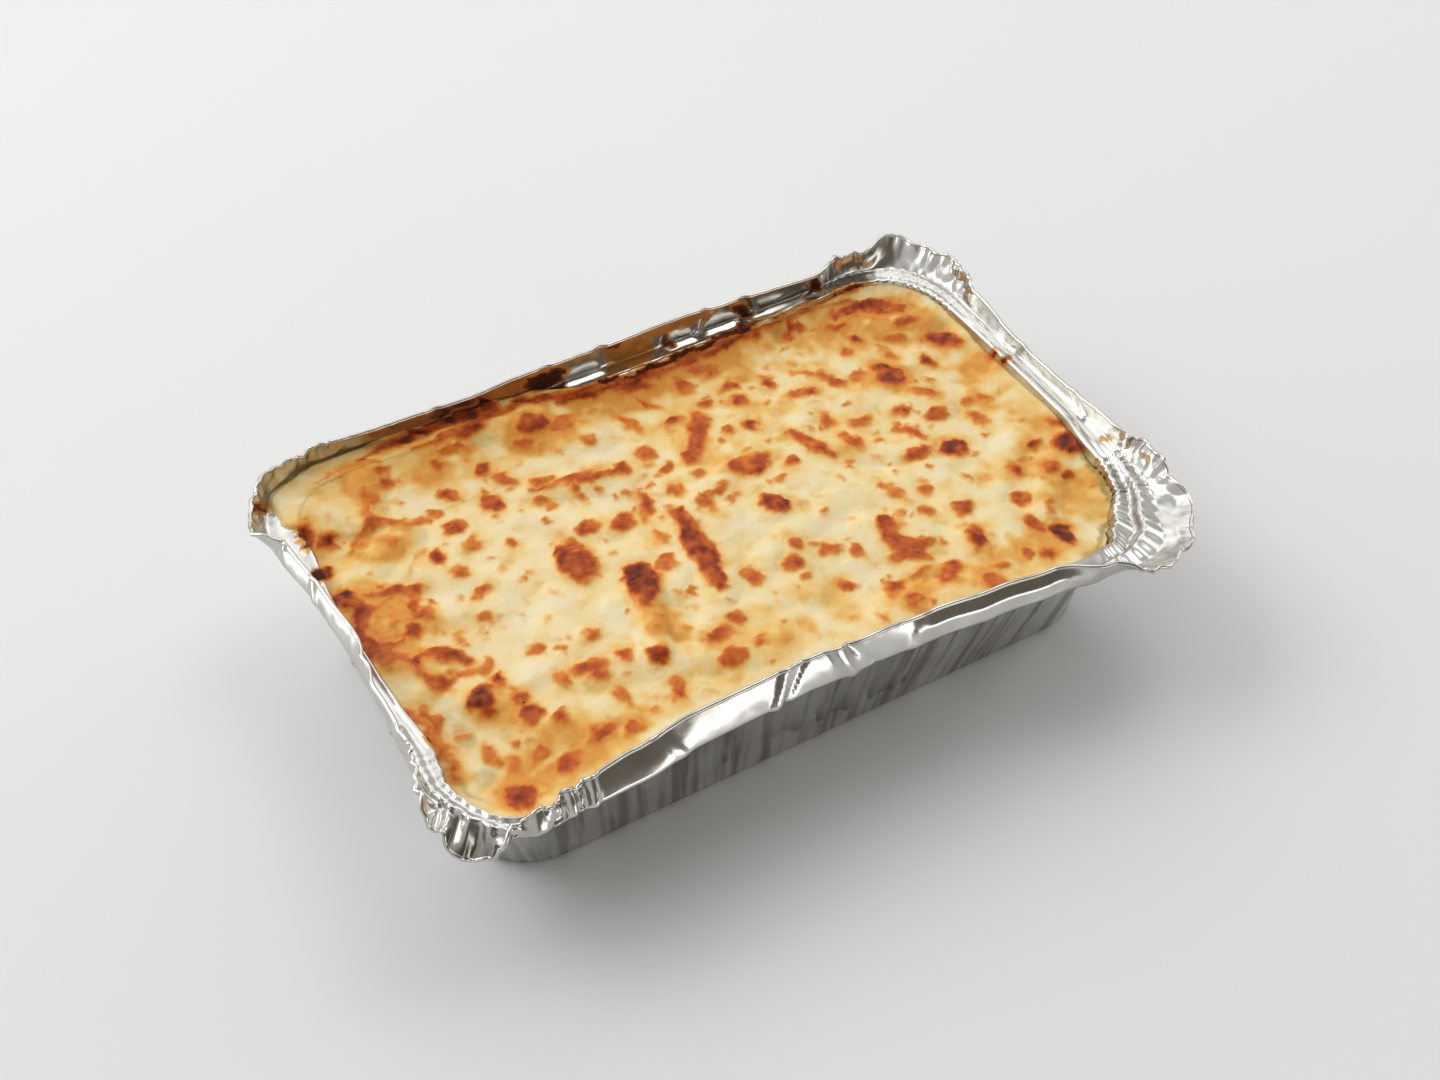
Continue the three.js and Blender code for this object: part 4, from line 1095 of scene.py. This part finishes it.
def colouring(points):  # browning, gold and olive, as the photo's marks are seen on these points
    sx, sy = seenAt(points)
    x, y = points[..., 0], points[..., 1]
    spots, streaks = brownSpots + foilSpots, brownStreaks + foilStreaks
    brown, glow = blotFields(sx, sy, spots, streaks, toning["markHalo"])
    small, smallGlow = blotFields(sx, sy, strewnSpots(smallSpots), [], toning["spotHalo"])
    oliveToned, thinGlow = blotFields(sx, sy, strewnSpots(thinFlecks), [], toning["fleckHalo"])
    veined = 1 - 2.4 * np.abs(softNoise(x + y * 0.3, y, *toning["veins"]))
    mottled = withNoise(0.55 + 0.6 * veined, x, y, toning["mottle"])
    toasted = ellipseField(sx, sy, toastedParts) * np.clip(mottled, 0, 1.3)
    # olive: painted shade from the shaded parts and the shadow lines, which also sink as grooves, and the
    # thin flecks' own tone
    shadowLineField, _ = blotFields(sx, sy, [], paintedShadowLines, toning["lineHalo"])
    olive = np.maximum(np.maximum(ellipseField(sx, sy, paintedShadeParts), shadowLineField), oliveToned)
    inwards = np.minimum(halfX - np.abs(x), halfY - np.abs(y))
    nearEdge = smooth((toning["edgeWidth"] - inwards) / toning["edgeWidth"])
    patchy = np.clip(withNoise(0.75, x, y, toning["goldPatches"]), 0.15, 1.3)
    gold = (0.2 + 0.26 * nearEdge + ellipseField(sx, sy, goldenParts)) * patchy
    gold = np.clip(gold + 0.6 * np.maximum(glow, 0.6 * smallGlow) + 0.4 * thinGlow + 0.6 * toasted, 0, 1)
    varied = withNoise(0.84, x, y, toning["brownPatches"])
    browning = np.maximum(np.maximum(brown, small), toasted) * varied
    return np.clip(browning, 0, 1), gold, np.clip(olive, 0, 1), shadowLineField


def bakeTop(x, y, run, pushedOut):
    # height and colouring of the crust, read where pushedOut takes the grid's points
    lumpy = sauceLevel(x, y) + tubeRelief(x, y) + swellingRelief(x, y)
    lumpy += withNoise(0, x, y, bake["lumps"])
    covered = easedRound(edgeSauce, run)[2].reshape(x.shape)
    highest = bake["highest"] + bake["ontoLedge"] * smooth(covered / 0.8) - sunkAt(run).reshape(x.shape)

    def capped(height):  # rounded off where it would rise above the foil
        below = highest - height
        return highest - (below + np.sqrt(below ** 2 + bake["rounding"] ** 2)) / 2

    plain = capped(lumpy)
    browning, gold, olive, shadowLineField = colouring(np.dstack([*pushedOut(plain), plain]))
    uneven = withNoise(0.85, x, y, bake["blisterWaves"])
    blistered = bake["blister"] * smooth(browning / 0.5) * uneven
    pitted = bake["pit"] * browning * softNoise(x, y, 1.2, 20)
    return capped(lumpy + blistered + pitted - bake["lineDepth"] * shadowLineField), browning, gold, olive


def gridEdges(half):  # a line of the grid, with whole cells in the corners
    straight = half - tray["cornerRadius"]
    corner = round(tray["cornerRadius"] / bake["cell"])
    middle = round(2 * straight / bake["cell"])
    return np.concatenate([
        np.linspace(-half, -straight, corner, endpoint=False),
        np.linspace(-straight, straight, middle, endpoint=False),
        np.linspace(straight, half, corner + 1),
    ])


def gridBorder(index):  # the point numbers once round a grid's border
    return np.concatenate([index[0, :-1], index[:-1, -1], index[-1, :0:-1], index[:0:-1, 0]])


def bakePiece(finish):
    xs, ys = gridEdges(halfX), gridEdges(halfY)
    x, y = np.meshgrid(xs, ys)
    awayX, awayY = fromCorners(x, y)
    radius = tray["cornerRadius"]
    shrinkX, shrinkY = np.sqrt(1 - (awayY / radius) ** 2 / 2), np.sqrt(1 - (awayX / radius) ** 2 / 2)
    x, y = x - awayX + awayX * shrinkX, y - awayY + awayY * shrinkY
    nearness = smooth(np.hypot(*fromCorners(x, y)).ravel() / radius)
    run = runOfPoints(x, y).ravel()
    outward = outwardAt(run)

    def pushedOut(z):  # where the grid's points go so that the bake fills the tray at these heights
        onWall = beforeSinking(run, z.ravel())
        up = (onWall - tray["footRadius"]) / (tray["height"] - tray["footRadius"])
        wall = ((wallPoints(run, onWall) - edgePoints(run, levelInset)) * outward).sum(1)
        bulge = rimAt(run)[0] * up
        detail = wallOut(run, onWall) - bulge + bake["clearance"]
        detail = detail * nearness ** bake["wallDetailFade"]
        shift = (outward.T * ((wall + bulge - bake["clearance"]) * nearness + detail)).reshape(2, *x.shape)
        return x + shift[0], y + shift[1]

    z, browning, gold, olive = bakeTop(x, y, run, pushedOut)
    heights = z.ravel()
    top = np.dstack([*pushedOut(z), z]).reshape(-1, 3)

    rows, columns = x.shape
    index = np.arange(rows * columns).reshape(rows, columns)
    a, b, c, d = index[:-1, :-1], index[:-1, 1:], index[1:, 1:], index[1:, :-1]
    faces = list(zip(a.ravel().tolist(), b.ravel().tolist(), c.ravel().tolist(), d.ravel().tolist()))
    border = gridBorder(index)
    borderRun = run[border]
    foot, floor = tray["footRadius"], tray["foil"] + bake["floorClearance"]
    points, above = [top], border.tolist()
    total = len(top)
    sideRings = [(bake["sideGap"], heights[border] * (1 - share) + bake["plainSideAt"] * share)
                 for share in bake["sideRings"]]
    footRings = [(bake["clearance"] + inset, np.full(len(border), height)) for inset, height in
                 ((0, floor + foot), (0.3 * foot, floor + 0.3 * foot), (foot, floor))]
    for inset, height in sideRings + footRings:
        onWall = np.maximum(beforeSinking(borderRun, height), foot)
        out = wallOut(borderRun, onWall) - inset
        ring = wallPoints(borderRun, onWall) + out[:, None] * outwardAt(borderRun)
        points.append(np.concatenate([ring, height[:, None]], 1))
        lower = list(range(total, total + len(ring)))
        total += len(ring)
        faces += [(above[k], lower[k], lower[(k + 1) % len(lower)], above[(k + 1) % len(above)])
                  for k in range(len(lower))]
        above = lower
    points.append(np.array([[0, 0, floor]]))
    faces += [(total, above[(k + 1) % len(above)], above[k]) for k in range(len(above))]
    points = np.concatenate(points)

    def padded(values, below=0.3):
        return np.concatenate([values.ravel(), np.full(len(points) - values.size, below)])

    crumbly = browning * (np.hypot(*fromCorners(x, y)) < radius - crumbs["fromFoil"])
    return addPiece("bechamel_crust", points, faces, finish,
                    {"browning": padded(browning), "gold": padded(gold), "olive": padded(olive),
                     "crumbly": padded(crumbly, 0)})


# Crumbs on the browned crust, and how far they keep from the foil (in millimetres, the size is in metres)
crumbs = {
    "perSquareMetre": 5000.0,
    "size": (0.0002, 0.0006),
    "seed": 6,
    "fromFoil": 1.4,
    "brownedRange": (0.35, 0.8),
    "flattest": (0.7, 0.7, 0.35),
    "fullest": (1.3, 1.3, 0.7),
    "tilt": 0.5,
    "light": tint(176, 86, 34),
    "dark": tint(84, 38, 20),
}

# Baked sauce: cream to gold, olive for its flecks and as painted shade in hollows and gaps at the foil,
# browned by depth. Sizes are in metres
crustLook = {
    "sauce": [
        (0.0, tint(237, 226, 192)), (0.25, tint(237, 215, 160)), (0.5, tint(234, 196, 120)),
        (0.75, tint(228, 172, 84)), (1.0, tint(217, 149, 60)),
    ],
    # painted shade in hollows and gaps, and the flecks' olive tone
    "olive": tint(150, 130, 66),
    "toast": [
        (0.0, tint(228, 170, 80)), (0.18, tint(222, 148, 58)), (0.38, tint(212, 122, 40)),
        (0.56, tint(192, 90, 24)), (0.72, tint(160, 62, 14)), (0.86, tint(118, 40, 10)),
        (1.0, tint(62, 26, 15)),
    ],
    "oliveAndShadeRange": (0.1, 1.1),
    "toastRange": (0.0, 0.36),
    "mottleSize": 0.0045,
    "speckleSize": 0.0013,
    "grainSize": 0.0004,
    "bump": {"Strength": 0.55, "Distance": 0.0004},
    "roughness": 0.42,
    "gloss": 0.22,
    "scatter": 0.16,
    "scatterDepth": (0.003, 0.0018, 0.0008),
}


def crustFinish():
    material, w = newFinish("baked bechamel")
    place = w.node("ShaderNodeTexCoord", None, None, "Object")
    mottle = w.noise(place, crustLook["mottleSize"])
    speckle = w.noise(place, crustLook["speckleSize"], 3, 0.6)
    grain = w.noise(place, crustLook["grainSize"], 2)
    browning, gold, olive = w.value("browning"), w.value("gold"), w.value("olive")
    ragged = browning * (1 - browning) * (speckle - 0.5) * 1.2
    toasted = browning + ragged
    golden = gold + gold * (mottle - 0.5) * 0.6 + (speckle - 0.5) * 0.2
    sauce = w.node("ShaderNodeValToRGB", {"stops": crustLook["sauce"]}, {"Fac": golden})
    # olive painted shade in hollows and gaps at the foil, and the olive flecks
    oliveAndShadeShare = w.eased(olive + (mottle - 0.5) * 0.3, *crustLook["oliveAndShadeRange"])
    oliveToned = w.mix(oliveAndShadeShare, sauce, crustLook["olive"])
    toast = w.node("ShaderNodeValToRGB", {"stops": crustLook["toast"]}, {"Fac": toasted})
    colour = w.mix(w.eased(toasted, *crustLook["toastRange"]), oliveToned, toast)
    relief = w.node("ShaderNodeBump", None, {
        **crustLook["bump"], "Height": speckle + grain * 0.4 + toasted * 0.3})
    surface = w.node("ShaderNodeBsdfPrincipled", None, {
        "Base Color": colour,
        "Roughness": crustLook["roughness"] + (mottle - 0.5) * 0.25 + toasted * 0.08,
        "Specular IOR Level": crustLook["gloss"],
        "Subsurface Weight": crustLook["scatter"],
        "Subsurface Radius": crustLook["scatterDepth"],
        "Subsurface Scale": 1.0,
        "Normal": relief,
    })
    finishWith(w, surface)
    return material


# Sauce that ran over the ledge, on the same sheet as the foil: it is thicker in the bend between ledge and
# lip, lies level on the ledge by a share, and its edge sinks into the foil
spill = {
    "thick": 0.95,
    "inBend": 1.1,
    "bendWidth": 2.4,
    "level": 0.8,
    "edgeWidth": 0.3,
    "edgeSunk": 0.1,
    "sunk": 0.16,
    "from": ("back", 6),
    "to": ("left", 10),
    "wallFrom": 38,
    "lipTo": 0.8,
    "outline": [(0.14, 6, 51), (0.07, 2.2, 52)],
    "waves": [(0.25, 4, 53)],
}


def spillPiece(sheet, normals, run, finish):
    wanted = [k for k, (kind, t, _) in enumerate(sheetRows)
              if kind == "ledge" or (kind == "wall" and t >= spill["wallFrom"])
              or (kind == "lip" and t < spill["lipTo"])]

    def onRows(value):  # a value for each wanted row, from its part and its place on that part
        return np.array([value(*sheetRows[k][:2]) for k in wanted])[:, None]

    inside = (run >= runOf(*spill["from"])) & (run <= runOf(*spill["to"]))
    around = run[inside]
    covered = withNoise(easedRound(edgeSauce, around)[2], around, 0 * around, spill["outline"])
    across = onRows(lambda kind, t: {"wall": (t - tray["height"]) / ledgeSpan, "ledge": t,
                                     "lip": 1 + 1.3 * t}[kind])
    depth = smooth((covered[None] - across) / spill["edgeWidth"])
    base, up = sheet[np.ix_(wanted, inside)], normals[np.ix_(wanted, inside)]
    uneven = withNoise(1, base[..., 0], base[..., 1], spill["waves"])
    fromBend = onRows(lambda kind, t: {"wall": 9, "ledge": 7 * (1 - t), "lip": 7 * t}[kind])
    thick = (spill["thick"] + spill["inBend"] * np.exp(-(fromBend / spill["bendWidth"]) ** 2)) * uneven
    top = base + up * (thick * depth - spill["edgeSunk"])[..., None]
    level = onRows(lambda kind, t: spill["level"] * (kind == "ledge")) * depth
    top[..., 2] += (tray["height"] + thick - top[..., 2]) * level
    under = base - up * spill["sunk"]
    browning, gold, olive, _ = colouring(top)
    rows, columns = depth.shape
    index = np.arange(rows * columns).reshape(rows, columns)
    lower = index + rows * columns
    faces = []
    for grid, flip in ((index, False), (lower, True)):
        quads = np.stack([grid[:-1, :-1], grid[1:, :-1], grid[1:, 1:], grid[:-1, 1:]], -1).reshape(-1, 4)
        faces += (quads[:, ::-1] if flip else quads).tolist()
    border = gridBorder(index)
    after = np.roll(border, -1)
    faces += np.stack([border, after, after + rows * columns, border + rows * columns], -1).tolist()
    points = np.concatenate([top.reshape(-1, 3), under.reshape(-1, 3)])
    values = {key: np.tile(value.ravel(), 2) for key, value in
              {"browning": browning, "gold": gold, "olive": olive}.items()}
    return addPiece("sauce_on_ledge", points, faces, finish, values)


# Geometry Nodes pieces: the rolled edge that follows the lip, and crumbs on the browned crust

def newTree(name, sockets):
    tree = bpy.data.node_groups.new(name, "GeometryNodeTree")
    tree.interface.new_socket("Geometry", in_out="INPUT", socket_type="NodeSocketGeometry")
    for label, kind in sockets:
        tree.interface.new_socket(label, in_out="INPUT", socket_type=kind)
    tree.interface.new_socket("Geometry", in_out="OUTPUT", socket_type="NodeSocketGeometry")
    wiring = Wiring(tree)
    source = tree.nodes.new("NodeGroupInput")
    given = {socket.name: Wire(wiring, socket) for socket in source.outputs if socket.name}
    return tree, wiring, given


def finishTree(wiring, geometry, material):
    whole = wiring.node("GeometryNodeRealizeInstances", None, {"Geometry": geometry})
    shaded = wiring.node("GeometryNodeSetShadeSmooth", None, {"Geometry": whole})
    dressed = wiring.node("GeometryNodeSetMaterial", None, {"Geometry": shaded, "Material": material})
    wiring.node("NodeGroupOutput", None, {"Geometry": dressed})


def grown(name, mesh, tree, settings):  # runs a tree on a mesh and keeps the plain result
    piece = bpy.data.objects.new(name, mesh)
    bpy.context.collection.objects.link(piece)
    modifier = piece.modifiers.new(name, "NODES")
    modifier.node_group = tree
    for socket in tree.interface.items_tree:
        if socket.in_out == "INPUT" and socket.name in settings:
            modifier[socket.identifier] = settings[socket.name]
    result = bpy.data.meshes.new_from_object(piece.evaluated_get(bpy.context.evaluated_depsgraph_get()))
    piece.modifiers.clear()
    piece.data = result
    result.name = name
    return piece


rolledEdge = {"radius": 0.62, "sides": 10, "inwards": 0.55, "unevenness": 0.22, "every": 9, "seed": 3}


def rolledEdgeTree(material):
    tree, w, given = newTree("rolled edge", [("Radius", "NodeSocketFloat"), ("Sides", "NodeSocketInt")])
    path = w.node("GeometryNodeMeshToCurve", None, {"Mesh": given["Geometry"]})
    thickness = w.node("GeometryNodeInputNamedAttribute", {"data_type": "FLOAT"}, {"Name": "thickness"})
    swollen = w.node("GeometryNodeSetCurveRadius", None, {"Curve": path, "Radius": thickness})
    ring = w.node("GeometryNodeCurvePrimitiveCircle", None,
                  {"Resolution": given["Sides"], "Radius": given["Radius"]})
    tube = w.node("GeometryNodeCurveToMesh", None, {"Curve": swollen, "Profile Curve": ring})
    finishTree(w, tube, material)
    return tree


def rolledEdgePiece(edge, normals, cornered, material):
    centre = edge - normals * rolledEdge["inwards"] * rolledEdge["radius"]
    count = len(centre)
    rng = np.random.default_rng(rolledEdge["seed"])
    knots = np.arange(0, count + rolledEdge["every"], rolledEdge["every"])
    wobble = np.interp(np.arange(count), knots, rng.uniform(-1, 1, len(knots)))
    thickness = 1 + rolledEdge["unevenness"] * wobble * (0.5 + cornered)
    mesh = bpy.data.meshes.new("lip path")
    links = [(k, (k + 1) % count) for k in range(count)]
    mesh.from_pydata((centre * millimetre).tolist(), links, [])
    mesh.attributes.new("thickness", "FLOAT", "POINT").data.foreach_set("value", thickness)
    settings = {"Radius": rolledEdge["radius"] * millimetre, "Sides": rolledEdge["sides"]}
    return grown("foil_rolled_edge", mesh, rolledEdgeTree(material), settings)


def crumbTree(material):
    tree, w, given = newTree("crumbs", [("Density", "NodeSocketFloat"), ("Smallest", "NodeSocketFloat"),
                                        ("Largest", "NodeSocketFloat"), ("Seed", "NodeSocketInt")])
    browned = w.node("GeometryNodeInputNamedAttribute", {"data_type": "FLOAT"}, {"Name": "crumbly"})
    wanted = w.eased(browned, *crumbs["brownedRange"]) * given["Density"]
    spots = w.node("GeometryNodeDistributePointsOnFaces", None,
                   {"Mesh": given["Geometry"], "Density": wanted, "Seed": given["Seed"]})
    crumb = w.node("GeometryNodeMeshIcoSphere", None, {"Radius": 1.0, "Subdivisions": 2})
    size = w.node("FunctionNodeRandomValue", {"data_type": "FLOAT"},
                  {2: given["Smallest"], 3: given["Largest"], "Seed": given["Seed"]}, 1)
    flat = w.node("FunctionNodeRandomValue", {"data_type": "FLOAT_VECTOR"},
                  {0: crumbs["flattest"], 1: crumbs["fullest"], "Seed": 12})
    tilt, wholeTurn = crumbs["tilt"], 6.28
    turn = w.node("FunctionNodeRandomValue", {"data_type": "FLOAT_VECTOR"},
                  {0: (-tilt, -tilt, 0), 1: (tilt, tilt, wholeTurn), "Seed": 13})
    scale = w.node("ShaderNodeVectorMath", {"operation": "SCALE"}, {0: flat, "Scale": size})
    strewn = w.node("GeometryNodeInstanceOnPoints", None,
                    {"Points": spots, "Instance": crumb, "Rotation": turn, "Scale": scale})
    finishTree(w, strewn, material)
    return tree


def crumbFinish():
    material, w = newFinish("toasted crumb")
    place = w.node("ShaderNodeTexCoord", None, None, "Object")
    patches = w.noise(place, 0.009)
    colour = w.mix(w.eased(patches, 0.35, 0.65), crumbs["light"], crumbs["dark"])
    bump = w.node("ShaderNodeBump", None, {
        "Strength": 0.5, "Distance": 0.0002, "Height": w.noise(place, crustLook["grainSize"])})
    finishWith(w, w.node("ShaderNodeBsdfPrincipled", None,
                         {"Base Color": colour, "Roughness": 0.45, "Normal": bump}))
    return material


def crumbPiece(crust, material):
    settings = {"Density": crumbs["perSquareMetre"], "Smallest": crumbs["size"][0],
                "Largest": crumbs["size"][1], "Seed": crumbs["seed"]}
    return grown("crust_crumbs", crust.data.copy(), crumbTree(material), settings)


# Build the pieces and say what each stands for
foil = foilFinish()
run, sheet, normals = makeSheet()
skin = skinPiece(run, sheet, normals, foil)
edgePiece = rolledEdgePiece(sheet[-1], normals[-1], cornerness(run), foil)
print("foil made,", len(skin.data.polygons), "faces, edge", len(edgePiece.data.polygons))

crustMaterial = crustFinish()
crust = bakePiece(crustMaterial)
spilled = spillPiece(sheet, normals, run, crustMaterial)
strewnCrumbs = crumbPiece(crust, crumbFinish())
print("bake made,", len(crust.data.polygons), "faces, crumbs", len(strewnCrumbs.data.polygons))

standsFor = {"foil_tray": [skin, edgePiece], "pasta_bake": [crust, spilled, strewnCrumbs]}
for node, pieces in standsFor.items():
    for piece in pieces:
        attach(piece, "root")
        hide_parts(node)


# Studio: a pale floor, soft lights and the camera
studio = {
    "floorSize": 6.0,
    "floorTint": tint(226, 226, 226),
    "sky": (0.64, 0.64, 0.64, 1.0),
    "darkSky": (0.15, 0.13, 0.105, 1.0),
    "darkSide": (0.25, -0.78, 0.57),
    "darkRange": (0.55, 0.9),
    "lights": [  # name, place, size and power
        ("key", (-0.75, 0.7, 1.2), (0.9, 0.9), 9.5),
        ("back", (0.36, 1.1, 1.0), (1.3, 1.2), 3.5),
        ("bright back", (0.494, 0.969, 0.881), (0.7, 0.44), 0.4),
        ("overhead", (0.51, 0.16, 1.19), (0.5, 0.5), 1.6),
        ("front", (0.5, -1.38, 0.24), (0.9, 0.44), 3.2),
        ("left", (-1.15, 0.89, 0.24), (0.8, 0.46), 2.6),
        ("right", (1.3, 0.1, 0.5), (0.6, 0.5), 2.0),
    ],
}


def makeFloor():
    half = studio["floorSize"] / 2
    mesh = bpy.data.meshes.new("floor")
    corners = [(-half, -half, 0), (half, -half, 0), (half, half, 0), (-half, half, 0)]
    mesh.from_pydata(corners, [], [(0, 1, 2, 3)])
    material, w = newFinish("pale floor")
    finishWith(w, w.node("ShaderNodeBsdfPrincipled", None,
                         {"Base Color": studio["floorTint"], "Roughness": 0.85}))
    mesh.materials.append(material)
    floor = bpy.data.objects.new("floor", mesh)
    bpy.context.collection.objects.link(floor)


def areaLight(name, position, size, power):  # faces the tray
    lamp = bpy.data.lights.new(name, "AREA")
    lamp.shape = "RECTANGLE"
    lamp.size, lamp.size_y = size
    lamp.energy = power
    light = bpy.data.objects.new(name, lamp)
    light.location = position
    light.rotation_euler = (-Vector(position)).to_track_quat("-Z", "Y").to_euler()
    bpy.context.collection.objects.link(light)


def makeStudio():
    makeFloor()
    for name, position, size, power in studio["lights"]:
        areaLight(name, position, size, power)
    world = bpy.data.worlds.new("studio")
    bpy.context.scene.world = world
    world.use_nodes = True
    w = Wiring(world.node_tree)
    background = world.node_tree.nodes["Background"]
    facing = w.node("ShaderNodeTexCoord", None, None, "Generated")
    inFront = w.node("ShaderNodeVectorMath", {"operation": "DOT_PRODUCT"},
                     {0: facing, 1: studio["darkSide"]}, "Value")
    sky = w.mix(w.eased(inFront, *studio["darkRange"]), studio["sky"], studio["darkSky"])
    world.node_tree.links.new(sky.socket, background.inputs["Color"])
    background.inputs["Strength"].default_value = 1.0
    bpy.context.scene.view_settings.view_transform = "Standard"


def makeCamera():
    azimuth, elevation = view["azimuth"], view["elevation"]
    back = Vector((math.sin(azimuth) * math.cos(elevation), -math.cos(azimuth) * math.cos(elevation),
                   math.sin(elevation)))
    camera = bpy.data.cameras.new("camera")
    camera.lens = view["lens"]
    camera.sensor_width = view["filmWidth"]
    camera.clip_start = view["clipStart"]
    holder = bpy.data.objects.new("camera", camera)
    holder.location = (Vector(view["target"]) + back * view["distance"]) * millimetre
    turn = back.to_track_quat("Z", "Y").to_matrix()
    holder.rotation_euler = turn.to_euler()
    holder.rotation_euler.rotate_axis("Z", view["roll"])
    bpy.context.collection.objects.link(holder)
    bpy.context.scene.camera = holder


makeStudio()
makeCamera()
print("studio made")
